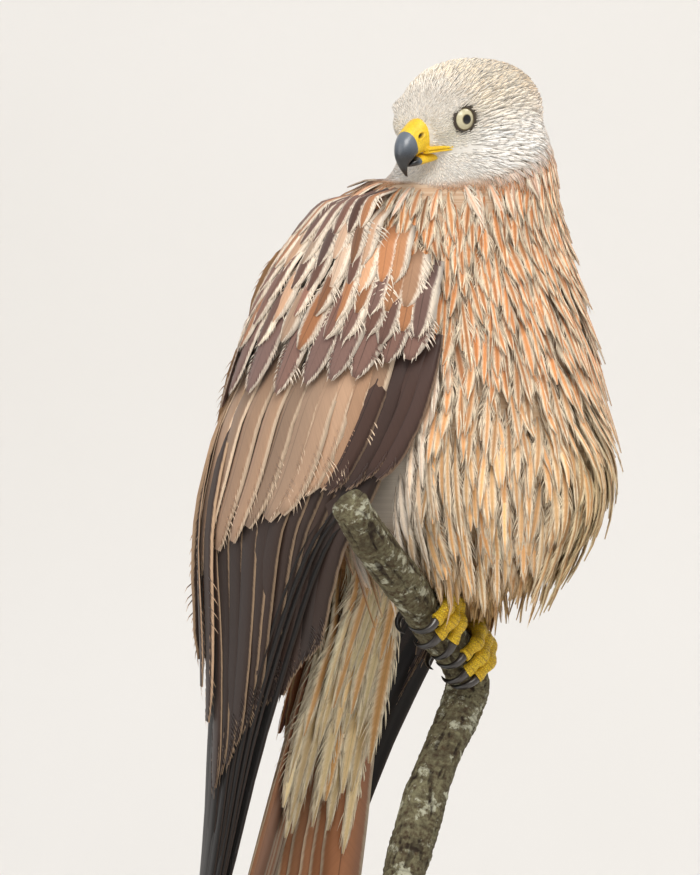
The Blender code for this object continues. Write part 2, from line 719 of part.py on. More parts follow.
def build_wing(parts, side_name):
    """One wing: flesh and feathers as one body. The left one is built as a right one and mirrored."""
    name = "wing_" + side_name
    draw = random.Random(SEEDS[name])
    wing = wing_flesh(name, side_name, parts)

    def surface(across, height):
        return wing_surface(side_name, across, height)

    feathers = []
    for tier in WING_TIERS:
        for i in range(tier["count"]):
            share = i / (tier["count"] - 1)
            ends = []
            for first, last in (tier["root"], tier["tip"]):
                ends.append([first[k] + (last[k] - first[k]) * share for k in range(2)])
            ends[1][1] += draw.uniform(-3.5, 3.5)
            ends[1][0] += draw.uniform(-0.008, 0.008)
            lift = tier["lift"][0] + (tier["lift"][1] - tier["lift"][0]) * share
            points, faces = vane(surface, ends[0], ends[1], tier["half"] * draw.uniform(0.95, 1.05), lift,
                                 tier["outline"], tier["slope"], tier["deep"], VANE_THICKNESS, tier.get("facing"))
            feathers.append(solid("feather", points, faces, "brown_feather", parts))
    boolean(wing, feathers, "UNION")
    lighten(wing, LIGHTER["wing"])
    boolean(wing, [wing_room("room", parts)], "DIFFERENCE")
    boolean(wing, [slab_keeper("own_side", (-GAP / 2, 0, 0), (-1, 0, 0), parts)], "INTERSECT")
    if side_name == "left":
        for vertex in wing.data.vertices:
            vertex.co.x = -vertex.co.x
        wing.data.flip_normals()
    boolean(wing, [skull_solid("room", WING_CLEARANCE, parts)], "DIFFERENCE")
    return keep_largest(wing)


# Trunk feather rows: root height, length down the body, count, lift at the tip
BREAST_ROWS = (
    (560, 46, 7, 3.5),
    (530, 50, 8, 5.0),
    (500, 52, 8, 6.5),
    (470, 54, 9, 8.0),
    (440, 54, 10, 9.0),
    (412, 48, 10, 7.0),
    (398, 44, 9, 2.0),
)
BREAST_HALF = 7.4
MANTLE_ROWS = ((566, 46), (528, 52), (486, 56))


def build_torso_feathers(parts, torso):
    """Loose pointed feathers in rows down the breast and flanks, and a few rows down the back."""
    draw = random.Random(SEEDS["torso"])
    feathers = []
    for row, (height, length, count, lift) in enumerate(BREAST_ROWS):
        reach = min(wing_edge_angle(height - length / 2), wing_edge_angle(height)) - math.radians(8)
        reach = min(reach, math.radians(76))
        for i in range(count):
            share = (i + 0.25 + 0.5 * (row % 2)) / count
            angle = -reach + 2 * reach * share + draw.uniform(-0.03, 0.03)
            near_leg = smooth_step(math.radians(18), math.radians(62), angle)
            low = max(height - length * draw.uniform(0.86, 1.14), 352.0 + 32.0 * near_leg)
            points, faces = vane(coat_surface, (angle, height), (angle * 0.97, low), BREAST_HALF * draw.uniform(0.9, 1.1),
                                 lift * draw.uniform(0.85, 1.15), LANCE_VANE, 0.06, -4.0, 0.9)
            feathers.append(solid("feather", points, faces, "rufous_feather", parts))
    for row, (height, length) in enumerate(MANTLE_ROWS):
        for side in (-1, 1) if row % 2 else (0,):
            angle = math.pi + side * 0.085
            points, faces = vane(coat_surface, (angle, height), (angle, height - length), 7.0, 4.0, SMALL_VANE,
                                 0.0, -4.0, 0.9)
            feathers.append(solid("feather", points, faces, "rufous_feather", parts))
    boolean(torso, feathers, "UNION")
    lighten(torso, LIGHTER["torso"])


def tail_point(across, along, arch=1.0):
    """A point on the tail's upper surface. across runs -1 to 1, along is the distance from the root."""
    lean = math.radians(TAIL_LEAN)
    down = np.array([0, math.sin(lean), -math.cos(lean)])
    back = np.array([0, math.cos(lean), math.sin(lean)])
    spread_share = along / TAIL_OUTER_LENGTH
    half = TAIL_HALF_WIDTH_ROOT + (TAIL_HALF_WIDTH_TIPS - TAIL_HALF_WIDTH_ROOT) * spread_share
    bend = TAIL_ARCH * arch * across * across * (0.35 + 0.65 * spread_share)
    return np.array(TAIL_ROOT) + down * along - back * bend + np.array([half * across, 0, 0])


def tail_surface(across, along):
    normal = surface_normal(tail_point, across, along, 0.01, 2.0)
    return tail_point(across, along), normal if normal[1] > 0 else -normal


def build_tail(parts):
    """Rump, tail feathers in pairs with a fork between their tips, and the soft feathers over and under their roots."""
    draw = random.Random(SEEDS["tail"])
    lean = math.radians(TAIL_LEAN)
    rings = []
    for share in spread(0.0, 1.0, 7):
        along = -34 + 92 * share
        centre = np.array(TAIL_ROOT) + np.array([0, math.sin(lean), -math.cos(lean)]) * along
        centre = centre + np.array([0, -13 + 8 * share, 0])
        end = math.sin(math.pi * (0.12 + 0.80 * share)) ** 0.4
        rings.append([centre + np.array([(31 - 12 * share) * end * math.cos(a), (25 - 15 * share) * end * math.sin(a), 0])
                      for a in (2 * math.pi * k / 16 for k in range(16))])
    tail = lofted("tail", rings, "tail_feather", parts)
    feathers = []
    for side in (-1, 1):
        for i in range(TAIL_PAIRS):
            share = i / (TAIL_PAIRS - 1)
            length = TAIL_MIDDLE_LENGTH + (TAIL_OUTER_LENGTH - TAIL_MIDDLE_LENGTH) * share ** 1.5
            level = -2.0 * i - (1.0 if side > 0 else 0.0)
            points, faces = vane(tail_surface, (side * (0.12 + 0.66 * share), 20),
                                 (side * (0.12 + 0.76 * share), length + draw.uniform(-2.0, 2.0)),
                                 16.5 - 2.5 * share, level, LONG_VANE, 0.0, level, 0.75)
            feathers.append(solid("feather", points, faces, "tail_feather", parts))

    def under_surface(across, along):
        point, normal = tail_surface(across, along)
        return point - np.array([0, 21.0 - 6.0 * smooth_step(0, 110, along), 0]), -normal

    for surface, rows in ((tail_surface, ((-6, 66, 4.4, 3), (16, 100, 2.4, 4))),
                          (under_surface, ((-4, 74, 5.0, 3), (10, 108, 3.0, 4), (24, 140, 1.0, 3)))):
        for start, end, lift, count in rows:
            for i in range(count):
                across = -0.72 + 1.44 * (i + 0.5) / count
                points, faces = vane(surface, (across, start), (across * 0.9, end * draw.uniform(0.93, 1.06)),
                                     10.0, lift, SMALL_VANE, 0.0, -5.0, 0.8)
                feathers.append(solid("feather", points, faces, "tail_feather", parts))
    boolean(tail, feathers, "UNION")
    lighten(tail, LIGHTER["tail"])
    boolean(tail, [trunk_solid("room", GAP, parts)], "DIFFERENCE")
    keep_largest(tail)


def branch_at(place):
    """Centre and radius of the branch at a place counted in its list's points."""
    rows = [(i, *row) for i, row in enumerate(BRANCH)]
    found = row_at(rows, place)
    return found[:3], found[3]


def branch_frame(place):
    """Centre, direction, forward and upward of the branch, square to each other."""
    centre, radius = branch_at(place)
    along = unit(branch_at(min(place + 0.05, len(BRANCH) - 1))[0] - branch_at(max(place - 0.05, 0))[0])
    front = unit(np.array([0, -1.0, 0]) - along * (-along[1]))
    return centre, radius, along, front, np.cross(along, front)


def branch_solid(name, grow, collection):
    rings = []
    last = len(BRANCH) - 1
    for i in range(BRANCH_RINGS):
        place = last * i / (BRANCH_RINGS - 1)
        centre, radius, along, front, up = branch_frame(place)
        if i == BRANCH_RINGS - 1:
            front, up = np.array([0, -1.0, 0]), np.array([-1.0, 0, 0])
        ring = []
        for j in range(BRANCH_SIDES):
            angle = 2 * math.pi * j / BRANCH_SIDES
            knots = 0.035 * math.sin(3 * angle + 1.7 * place) + 0.03 * math.sin(2 * angle - 2.3 * place)
            reach = radius * (1 + knots) + grow
            ring.append(centre + front * reach * math.cos(angle) + up * reach * math.sin(angle))
        rings.append(ring)
    return lofted(name, rings, "bark", collection)


def grip_point(place, angle, reach):
    """A point round the branch: angle 0 on its top, positive in front, in degrees."""
    centre, radius, along, front, up = branch_frame(place)
    if up[2] < 0:
        up = -up
    turn = math.radians(angle)
    return centre + (front * math.sin(turn) + up * math.cos(turn)) * (radius + reach)


def tube(name, path, radii, material, collection, sides=8):
    rings = []
    side = None
    for i, point in enumerate(path):
        along = unit(np.array(path[min(i + 1, len(path) - 1)]) - path[max(i - 1, 0)])
        if side is None:
            side = unit(np.cross(along, (0.31, 0.22, 0.92)))
        side = unit(side - along * (side @ along))
        other = np.cross(along, side)
        rings.append([point + (side * math.cos(a) + other * math.sin(a)) * radii[i]
                      for a in (2 * math.pi * k / sides for k in range(sides))])
    return lofted(name, rings, material, collection)


def leg_line(side_name):
    """Ankle over the branch, and the hip inside the belly."""
    return grip_point(FEET[side_name]["grip"], 4, 9.0), np.array(FEET[side_name]["hip"], float)


def shank(name, side_name, grow, collection):
    """Bare shank from inside the thigh's cuff down to the toes."""
    ankle, hip = leg_line(side_name)
    upward = unit(hip - ankle)
    path = [ankle + upward * 22, ankle + upward * 9, ankle, grip_point(FEET[side_name]["grip"], 6, 4.6)]
    return tube(name, path, [r + grow for r in (4.6, 4.8, 6.0, 5.4)], "cere", collection, 10)


def toe_lines(side_name):
    """Centre lines and radii of the four toes and of their claws."""
    place = FEET[side_name]["grip"]
    step = 1 / 30.0  # branch list places to a millimetre along it
    toes, claws = [], []
    for root_step, end_step, first, last in TOES:
        path, radii = [], []
        for k in range(TOE_RINGS):
            share = k / (TOE_RINGS - 1)
            shift = root_step + (end_step - root_step) * share
            angle = first * 0.3 + (last - first * 0.3) * share
            radius = TOE_RADIUS * (1.12 - 0.30 * share) + 0.55 * math.cos(math.pi * k)
            path.append(grip_point(place + shift * step, angle, radius * 0.92 + GAP + 0.35))
            radii.append(radius)
        toes.append((path, radii))
        path, radii = [], []
        for k in range(5):
            share = k / 4
            angle = last + math.copysign(1, last) * (7 + CLAW_LENGTH * 2.6 * share)
            reach = 2.6 + 5.2 * math.sin(math.pi * (0.12 + 0.80 * share))
            path.append(grip_point(place + end_step * (1.06 + 0.3 * share) * step, angle, reach))
            radii.append(CLAW_RADIUS * (1 - share) ** 0.75 + 0.25)
        claws.append((path, radii))
    return toes, claws


def digit_rooms(side_name, collection, with_toes):
    toes, claws = toe_lines(side_name)
    made = [tube("room", path, [r + GAP for r in radii], "horn", collection, 6) for path, radii in claws]
    if with_toes:
        made += [tube("room", path, [r + GAP for r in radii], "horn", collection, 6) for path, radii in toes]
    return made


def build_foot(parts, side_name):
    """Scaled shank and four toes round the branch, each ending in a claw of its own."""
    foot = shank("foot_" + side_name, side_name, 0.0, parts)
    toes, claws = toe_lines(side_name)
    boolean(foot, [tube("toe", path, radii, "cere", parts, 6) for path, radii in toes], "UNION")
    boolean(foot, [branch_solid("room", GAP, parts)], "DIFFERENCE")
    boolean(foot, digit_rooms(side_name, parts, False), "DIFFERENCE")
    keep_largest(foot)
    for i, (path, radii) in enumerate(claws):
        claw = tube(f"claw_{side_name}_{i + 1}", path, radii, "horn", parts, 6)
        boolean(claw, [branch_solid("room", GAP, parts)], "DIFFERENCE")
        keep_largest(claw)


def thigh_frame(side_name):
    ankle, hip = leg_line(side_name)
    top = hip + unit(hip - ankle) * 6
    bottom = ankle + unit(hip - ankle) * 5
    down = unit(bottom - top)
    forward = unit(np.array([0, -1.0, 0]) - down * (-down[1]))
    return top, down, forward, np.cross(down, forward), np.linalg.norm(bottom - top)


def thigh_point(side_name, angle, along, grow=0.0):
    top, down, forward, across, length = thigh_frame(side_name)
    share = min(max(along / length, 0.0), 1.0)
    radius = THIGH_RADIUS - (THIGH_RADIUS - CUFF_RADIUS) * smooth_step(0.1, 1.0, share)
    radius *= 0.45 + 0.55 * smooth_step(-0.1, 0.3, share)
    return top + down * along + forward * math.cos(angle) * (radius * 1.1 + grow) \
        + across * math.sin(angle) * (radius * 0.95 + grow)


def thigh_solid(name, side_name, grow, collection):
    length = thigh_frame(side_name)[-1]
    rings = [[thigh_point(side_name, 2 * math.pi * k / 14, length * share, grow) for k in range(14)]
             for share in (0, 0.2, 0.4, 0.7, 1)]
    if grow:
        shift = thigh_frame(side_name)[1] * grow
        rings = [[p - shift for p in rings[0]]] + rings + [[p + shift * 2 for p in rings[-1]]]
    return lofted(name, rings, "rufous_feather", collection)


def build_thigh(parts, side_name):
    """Feathered thigh from inside the belly to a cuff round the shank, with a fringe of pointed feathers."""
    draw = random.Random(SEEDS["thigh_" + side_name])

    def surface(angle, along):
        point = thigh_point(side_name, angle, along)
        top, down = thigh_frame(side_name)[:2]
        return point, unit(point - (top + down * along))

    thigh = thigh_solid("thigh_" + side_name, side_name, 0.0, parts)
    length = thigh_frame(side_name)[-1]
    fringe = []
    for k in range(10):
        angle = 2 * math.pi * (k + 0.5) / 10
        points, faces = vane(surface, (angle, length * 0.4), (angle, length * draw.uniform(1.02, 1.16)), 5.0, 0.9,
                             LANCE_VANE, 0.0, -3.5, 0.9)
        fringe.append(solid("feather", points, faces, "rufous_feather", parts))
    boolean(thigh, fringe, "UNION")
    lighten(thigh, LIGHTER["thigh"])
    boolean(thigh, [branch_solid("room", GAP, parts), shank("room", side_name, GAP, parts)], "DIFFERENCE")
    boolean(thigh, digit_rooms(side_name, parts, True), "DIFFERENCE")
    return keep_largest(thigh)


def build_stand(parts):
    """Round wooden base and a steel rod up to the branch's lower cut end."""
    bpy.ops.mesh.primitive_cylinder_add(vertices=40, radius=BASE_RADIUS * MM, depth=BASE_HEIGHT * MM,
                                        location=(0, 0, BASE_HEIGHT * MM / 2))
    base = bpy.context.object
    base.name = "stand_base"
    base.data.name = "stand_base"
    base.data.materials.append(material_named("dark_wood"))
    edge = base.modifiers.new("edge", "BEVEL")
    edge.width = BASE_EDGE * MM
    edge.segments = 2
    edge.limit_method = "ANGLE"
    for holder in list(base.users_collection):
        holder.objects.unlink(base)
    parts.objects.link(base)

    foot_x, foot_y, top = BRANCH[-1][0], BRANCH[-1][1] + BIRD_Y, BRANCH[-1][2] - GAP
    low = BASE_HEIGHT + GAP
    profile = ((0, top), (ROD_RADIUS - 0.6, top), (ROD_RADIUS, top - 0.6), (ROD_RADIUS, low + ROD_FOOT_HEIGHT + 2),
               (ROD_RADIUS + 2, low + ROD_FOOT_HEIGHT), (ROD_FOOT_RADIUS - 1.5, low + ROD_FOOT_HEIGHT),
               (ROD_FOOT_RADIUS, low + ROD_FOOT_HEIGHT - 1.5), (ROD_FOOT_RADIUS, low), (0, low))
    mesh = bpy.data.meshes.new("stand_rod")
    mesh.from_pydata([(r * MM, 0, z * MM) for r, z in profile], [(i, i + 1) for i in range(len(profile) - 1)], [])
    mesh.materials.append(material_named("steel"))
    rod = bpy.data.objects.new("stand_rod", mesh)
    parts.objects.link(rod)
    turned = rod.modifiers.new("turned", "SCREW")
    turned.steps = turned.render_steps = 16
    turned.use_merge_vertices = True
    turned.merge_threshold = 0.00001
    rod.location = (foot_x * MM, foot_y * MM, 0)


def main():
    clear_scene()
    parts = collection_named("red_kite")
    head, _, torso = build_flesh(parts)
    build_head_details(parts, head)
    build_bill(parts, head)
    keep_largest(head)
    build_torso_feathers(parts, torso)
    rooms = [branch_solid("room", GAP, parts)]
    for side_name in ("right", "left"):
        build_wing(parts, side_name)
        build_foot(parts, side_name)
        build_thigh(parts, side_name)
        rooms += [thigh_solid("room", side_name, FRINGE_ROOM + GAP, parts), shank("room", side_name, GAP, parts)]
    boolean(torso, rooms, "DIFFERENCE")
    keep_largest(torso)
    build_tail(parts)
    branch_solid("perch", 0.0, parts)
    for piece in parts.objects:
        piece.location.y = BIRD_Y * MM
    build_stand(parts)
    for piece in parts.objects:
        piece.data.shade_smooth()
        piece.data.set_sharp_from_angle(angle=math.radians(40))


main()
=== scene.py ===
import math
import random
import time

import bpy
import numpy as np
from mathutils import Matrix, Vector, noise
from mathutils.bvhtree import BVHTree
from mathutils.kdtree import KDTree


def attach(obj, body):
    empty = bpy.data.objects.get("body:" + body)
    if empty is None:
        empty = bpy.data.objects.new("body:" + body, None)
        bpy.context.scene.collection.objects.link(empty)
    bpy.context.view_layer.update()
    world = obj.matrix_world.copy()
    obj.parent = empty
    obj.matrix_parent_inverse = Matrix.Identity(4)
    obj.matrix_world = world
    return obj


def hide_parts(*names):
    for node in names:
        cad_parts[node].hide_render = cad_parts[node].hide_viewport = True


started = time.time()
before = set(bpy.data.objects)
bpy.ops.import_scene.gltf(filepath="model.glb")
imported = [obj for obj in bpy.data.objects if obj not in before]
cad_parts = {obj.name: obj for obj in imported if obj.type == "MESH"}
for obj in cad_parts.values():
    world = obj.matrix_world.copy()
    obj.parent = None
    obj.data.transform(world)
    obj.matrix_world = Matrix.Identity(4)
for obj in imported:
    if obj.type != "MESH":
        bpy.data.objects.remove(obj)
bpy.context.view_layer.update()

# Lengths are millimetres in the bird's own frame: breast towards -Y, its right wing at -X, floor at z 0.
# The bird stands 25 mm in front of the base's middle, and meshes are turned into metres when they are made.
mm = 0.001
birdY = -25.0

# Trunk from belly to neck: height, y of the widest line, half width, depth forward, depth back
trunkRows = (
    (370, -2, 10, 14, 14), (376, -4, 34, 62, 56), (392, -8, 54, 92, 86), (421, -12, 69, 100, 104),
    (455, -14, 76, 88, 108), (496, -16, 75, 77, 102), (530, -20, 69, 63, 92), (560, -25, 60, 50, 84),
    (583, -29, 50, 44, 68), (600, -31, 46, 44, 54), (616, -31, 42, 41, 47), (632, -29, 35, 35, 38),
    (643, -28, 16, 16, 16),
)
# Head in its own frame: distance forward, height of the widest line, half width, height above it and
# depth below it
headRows = (
    (-59, -4, 6, 6, 6), (-55, -4, 20, 20, 18), (-43, -3, 32.5, 28.5, 29), (-26, -1, 36, 32, 33),
    (-8, 0, 35.5, 33.5, 34), (8, 0, 33, 32.5, 32), (20, -1, 28.5, 28, 27), (30, -2, 21.5, 21, 20),
    (38, -3, 13.5, 14, 14), (43, -3, 8, 8.5, 9), (45, -3, 3, 3, 3),
)
headPose = {"place": (-16.0, -27.0, 628.0), "turn": 80.0, "nod": 14.0}
# Wing surface at each height: front edge, side, back corner and inner edge, as x and y
wingRows = (
    (75, -45, 162, -45, 168, -38, 173, -28, 176), (150, -55, 126, -60, 141, -50, 156, -30, 159),
    (220, -64, 92, -70, 115, -57, 139, -30, 147), (300, -78, 46, -85, 84, -66, 127, -22, 131),
    (386, -87, 6, -99, 46, -78, 117, -13, 120), (420, -82, -24, -98, 26, -80, 108, -11, 114),
    (467, -77, -50, -96, 6, -79, 93, -11, 104), (530, -67, -58, -85, -16, -72, 66, -16, 80),
    (580, -50, -52, -64, -14, -49, 38, -19, 50), (598, -38, -46, -47, -20, -36, 14, -17, 24),
)
# How far the left wing's front edge lies behind and inside the right one's
closerFold = (
    (75, 8, 0), (150, 24, 2), (220, 36, 8), (300, 40, 14), (386, 34, 5), (420, 22, 2), (530, 14, 2),
    (598, 7, 2),
)
# Tail, a fan that leans back from its root, with its lengths to the middle and outer feathers' tips
tailLook = {"root": (0.0, 79.0, 370.0), "lean": 17.5, "pairs": 6, "middleLength": 272.0, "outerLength": 338.0,
            "halfTips": 63.0, "halfRoot": 26.0, "arch": 15.0}


def toLinear(hexCode):
    channels = [int(hexCode[i:i + 2], 16) / 255 for i in (1, 3, 5)]
    return np.array([c / 12.92 if c <= 0.04045 else ((c + 0.055) / 1.055) ** 2.4 for c in channels])


def unit(vectors):
    vectors = np.asarray(vectors, float)
    return vectors / np.maximum(np.linalg.norm(vectors, axis=-1, keepdims=True), 1e-9)


def smoothStep(low, high, value):
    share = np.clip((np.asarray(value, float) - low) / (high - low), 0.0, 1.0)
    return share * share * (3 - 2 * share)


def mix(first, second, share):
    return first + (second - first) * np.asarray(share, float)[..., None]


def rowAt(rows, keys):
    # Smooth reading of a table at values of its first column.
    rows = np.asarray(rows, float)
    at, values = rows[:, 0], rows[:, 1:]
    keys = np.clip(np.asarray(keys, float), at[0], at[-1])
    i = np.clip(np.searchsorted(at, keys, side="right") - 1, 0, len(at) - 2)
    low, high = np.maximum(np.arange(len(at)) - 1, 0), np.minimum(np.arange(len(at)) + 1, len(at) - 1)
    slopes = (values[high] - values[low]) / (at[high] - at[low])[:, None]
    span = (at[i + 1] - at[i])[..., None]
    share = ((keys - at[i]) / (at[i + 1] - at[i]))[..., None]
    square, cube = share * share, share * share * share
    return (values[i] * (1 - 3 * square + 2 * cube) + values[i + 1] * (3 * square - 2 * cube)
            + slopes[i] * span * (share - 2 * square + cube) + slopes[i + 1] * span * (cube - square))


def trunkPoint(angle, height, grow=0.0):
    # A point on the trunk. angle is 0 in front and runs to the bird's right.
    angle, height = np.broadcast_arrays(np.asarray(angle, float), np.asarray(height, float))
    middle, half, front, back = np.moveaxis(rowAt(trunkRows, height), -1, 0)
    depth = np.where(np.cos(angle) > 0, front, back) + grow
    return np.stack([-(half + grow) * np.sin(angle), middle - depth * np.cos(angle), height], -1)


def headAxes():
    turn, nod = math.radians(headPose["turn"]), math.radians(headPose["nod"])
    level = np.array([-math.sin(turn), -math.cos(turn), 0.0])
    up = np.array([0.0, 0.0, 1.0])
    forward = level * math.cos(nod) - up * math.sin(nod)
    upward = level * math.sin(nod) + up * math.cos(nod)
    return forward, np.cross(upward, forward), upward


headForward, headLeft, headUp = headAxes()
headPlace = np.array(headPose["place"])


def fromHead(forward, left, upward):
    return (headPlace + np.asarray(forward, float)[..., None] * headForward
            + np.asarray(left, float)[..., None] * headLeft + np.asarray(upward, float)[..., None] * headUp)


def toHead(points):
    away = np.asarray(points, float) - headPlace
    return away @ headForward, away @ headLeft, away @ headUp


chin, nape = fromHead(14, 0, -29), fromHead(-58, 0, -9)
neckNormal = unit(np.cross(chin - nape, headLeft))
neckNormal = neckNormal if neckNormal[2] > 0 else -neckNormal


def meshObject(name, points, quads, triangles=None, material=None):
    # A smooth-shaded mesh from millimetre points and face lists.
    quads = np.asarray(quads, np.int32).reshape(-1, 4)
    triangles = np.zeros((0, 3)) if triangles is None else triangles
    triangles = np.asarray(triangles, np.int32).reshape(-1, 3)
    loops = np.concatenate([quads.ravel(), triangles.ravel()])
    starts = np.concatenate([np.arange(len(quads)) * 4, len(quads) * 4 + np.arange(len(triangles)) * 3])
    mesh = bpy.data.meshes.new(name)
    points = (np.asarray(points, float).reshape(-1, 3) + [0, birdY, 0]) * mm
    mesh.vertices.add(len(points))
    mesh.vertices.foreach_set("co", points.astype(np.float32).ravel())
    mesh.loops.add(len(loops))
    mesh.loops.foreach_set("vertex_index", loops.astype(np.int32))
    mesh.polygons.add(len(starts))
    mesh.polygons.foreach_set("loop_start", starts.astype(np.int32))
    mesh.polygons.foreach_set("use_smooth", np.ones(len(starts), bool))
    mesh.update(calc_edges=True)
    if material:
        mesh.materials.append(material)
    made = bpy.data.objects.new(name, mesh)
    bpy.context.scene.collection.objects.link(made)
    return made


def tubePoints(rings):
    # Faces and points of a closed tube through rings, an array of ring, place round it, and coordinate.
    rings = np.asarray(rings, float)
    count, around = rings.shape[:2]
    points = np.concatenate([rings.reshape(-1, 3), [rings[0].mean(0), rings[-1].mean(0)]])
    i, j = np.meshgrid(np.arange(count - 1), np.arange(around), indexing="ij")
    k = (j + 1) % around
    quads = np.stack([i * around + j, i * around + k, (i + 1) * around + k, (i + 1) * around + j],
                     -1).reshape(-1, 4)
    j = np.arange(around)
    k = (j + 1) % around
    first, tail = np.full(around, count * around), (count - 1) * around
    triangles = np.concatenate([np.stack([first, k, j], -1), np.stack([first + 1, tail + j, tail + k], -1)])
    return points, quads, triangles


def tubeObject(name, rings, material=None):
    made = meshObject(name, *tubePoints(rings), material)
    settleNormals(made)
    return made


def settleNormals(made):
    # Turns a closed mesh's faces outward.
    mesh = made.data
    mesh.calc_loop_triangles()
    corners = np.zeros(len(mesh.loop_triangles) * 3, np.int32)
    mesh.loop_triangles.foreach_get("vertices", corners)
    points = pointsOf(made)[corners].reshape(-1, 3, 3)
    if np.einsum("ij,ij->", points[:, 0] - points.mean((0, 1)), np.cross(points[:, 1], points[:, 2])) < 0:
        mesh.flip_normals()


def pointsOf(made):
    # A mesh's points, in millimetres in the bird's frame.
    co = np.zeros(len(made.data.vertices) * 3, np.float32)
    made.data.vertices.foreach_get("co", co)
    return co.reshape(-1, 3).astype(float) / mm - [0, birdY, 0]


def addValues(made, **values):
    # Numbers or colours at every point, which the materials read by name.
    for name, given in values.items():
        given = np.asarray(given, np.float32)
        coloured = given.ndim == 2
        if coloured:
            given = np.concatenate([given, np.ones((len(given), 1), np.float32)], 1)
        attribute = made.data.attributes.new(name, "FLOAT_COLOR" if coloured else "FLOAT", "POINT")
        attribute.data.foreach_set("color" if coloured else "value", given.ravel())


def fused(name, pieces, voxel, smoothing, material=None):
    # One closed skin over pieces that overlap.
    bpy.ops.object.select_all(action="DESELECT")
    for piece in pieces:
        piece.select_set(True)
    bpy.context.view_layer.objects.active = pieces[0]
    if len(pieces) > 1:
        bpy.ops.object.join()
    made = pieces[0]
    remesh = made.modifiers.new("remesh", "REMESH")
    remesh.mode = "VOXEL"
    remesh.voxel_size = voxel * mm
    soften = made.modifiers.new("soften", "SMOOTH")
    soften.factor, soften.iterations = 0.5, smoothing
    mesh = bpy.data.meshes.new_from_object(made.evaluated_get(bpy.context.evaluated_depsgraph_get()))
    bpy.data.objects.remove(made)
    mesh.name = name
    mesh.materials.clear()
    if material:
        mesh.materials.append(material)
    mesh.shade_smooth()
    made = bpy.data.objects.new(name, mesh)
    bpy.context.scene.collection.objects.link(made)
    return made


def addNode(tree, kind, settings, sockets=(), output=None):
    # Adds a shader node with its settings and gives its output. A socket takes a value or an output.
    made = tree.nodes.new("ShaderNode" + kind)
    for name, value in settings.items():
        setattr(made, name, value)
    for name, value in dict(sockets).items():
        if isinstance(value, bpy.types.NodeSocket):
            tree.links.new(value, made.inputs[name])
        else:
            made.inputs[name].default_value = value
    first = 2 if kind == "Mix" else 0
    return made.outputs[first if output is None else output]


def joinSurface(tree, shader, colour, height, strength, distance):
    # The surface's colour, and a relief that is distance metres deep where height is low.
    tree.links.new(colour, shader.inputs["Base Color"])
    bump = addNode(tree, "Bump", {}, {"Strength": strength, "Distance": distance, "Height": height})
    tree.links.new(bump, shader.inputs["Normal"])


# Settings that many nodes share: a mix or product of two colours, and a soft step
twoColours = {"data_type": "RGBA"}
colourProduct = {"data_type": "RGBA", "blend_type": "MULTIPLY"}
softly = {"interpolation_type": "SMOOTHSTEP"}


def newMaterial(name, look):
    # An empty Principled material. look gives the values that are the same all over the surface.
    made = bpy.data.materials.new(name)
    made.use_nodes = True
    tree = made.node_tree
    shader = tree.nodes["Principled BSDF"]
    for socket, value in look.items():
        shader.inputs[socket].default_value = value
    return made, tree, shader


def rgba(hexCode):
    return (*toLinear(hexCode), 1.0)


def plumageMaterial(name, look):
    # Keratin vanes: a matt web of fine barbs with a faint sheen along them, a paler worn fringe and a dark
    # shaft. Real barbs stand 0.3 mm apart, too fine to show, so each strand of the mesh stands for a few.
    made, tree, shader = newMaterial(name, {"Roughness": look["roughness"], "Specular IOR Level": 0.3,
                                            "Sheen Weight": look["sheen"], "Sheen Roughness": 0.5,
                                            "IOR": 1.54})
    rim, along, streak, strand, barb = (addNode(tree, "Attribute", {"attribute_name": name}, output="Fac")
                                        for name in ("rim", "along", "streak", "strand", "barb"))
    centre, edge = (addNode(tree, "Attribute", {"attribute_name": name}, output="Color")
                    for name in ("centre", "edge"))
    place = addNode(tree, "CombineXYZ", {}, {"X": barb, "Y": rim, "Z": strand})
    stretched = addNode(tree, "Mapping", {}, {"Vector": place, "Scale": look["grain"]})
    grain = addNode(tree, "TexNoise", {}, {"Vector": stretched, "Scale": 1.0, "Detail": 3.0})
    ragged = addNode(tree, "Math", {"operation": "MULTIPLY_ADD"}, {0: grain, 1: look["ragged"], 2: rim})
    start = 1 - look["fringe"] + look["ragged"] / 2
    fringe = addNode(tree, "MapRange", softly,
                     {"Value": ragged, "From Min": start - look["soft"], "From Max": start + look["soft"]})
    colour = addNode(tree, "Mix", twoColours, {0: fringe, 6: centre, 7: edge})
    shaft = addNode(tree, "MapRange", softly,
                    {"Value": rim, "From Min": look["shaft"], "From Max": 0.0})
    late = addNode(tree, "MapRange", softly,
                   {"Value": along, "From Min": 0.15, "From Max": 0.5})
    dark = addNode(tree, "Math", {"operation": "MULTIPLY"}, {0: shaft, 1: streak})
    dark = addNode(tree, "Math", {"operation": "MULTIPLY"}, {0: dark, 1: late})
    colour = addNode(tree, "Mix", twoColours, {0: dark, 6: colour, 7: rgba(look["shaftColour"])})
    lift = addNode(tree, "MapRange", {}, {"Value": strand, "To Min": 1 - look["vary"],
                                          "To Max": 1 + look["vary"]})
    fine = addNode(tree, "MapRange", {}, {"Value": grain, "From Min": 0.3, "From Max": 0.7, "To Min": 0.92,
                                          "To Max": 1.07})
    both = addNode(tree, "Math", {"operation": "MULTIPLY"}, {0: lift, 1: fine})
    shade = addNode(tree, "CombineColor", {}, {0: both, 1: both, 2: both})
    colour = addNode(tree, "Mix", colourProduct, {0: 1.0, 6: colour, 7: shade})
    joinSurface(tree, shader, colour, grain, 0.25, 0.0002)
    return made


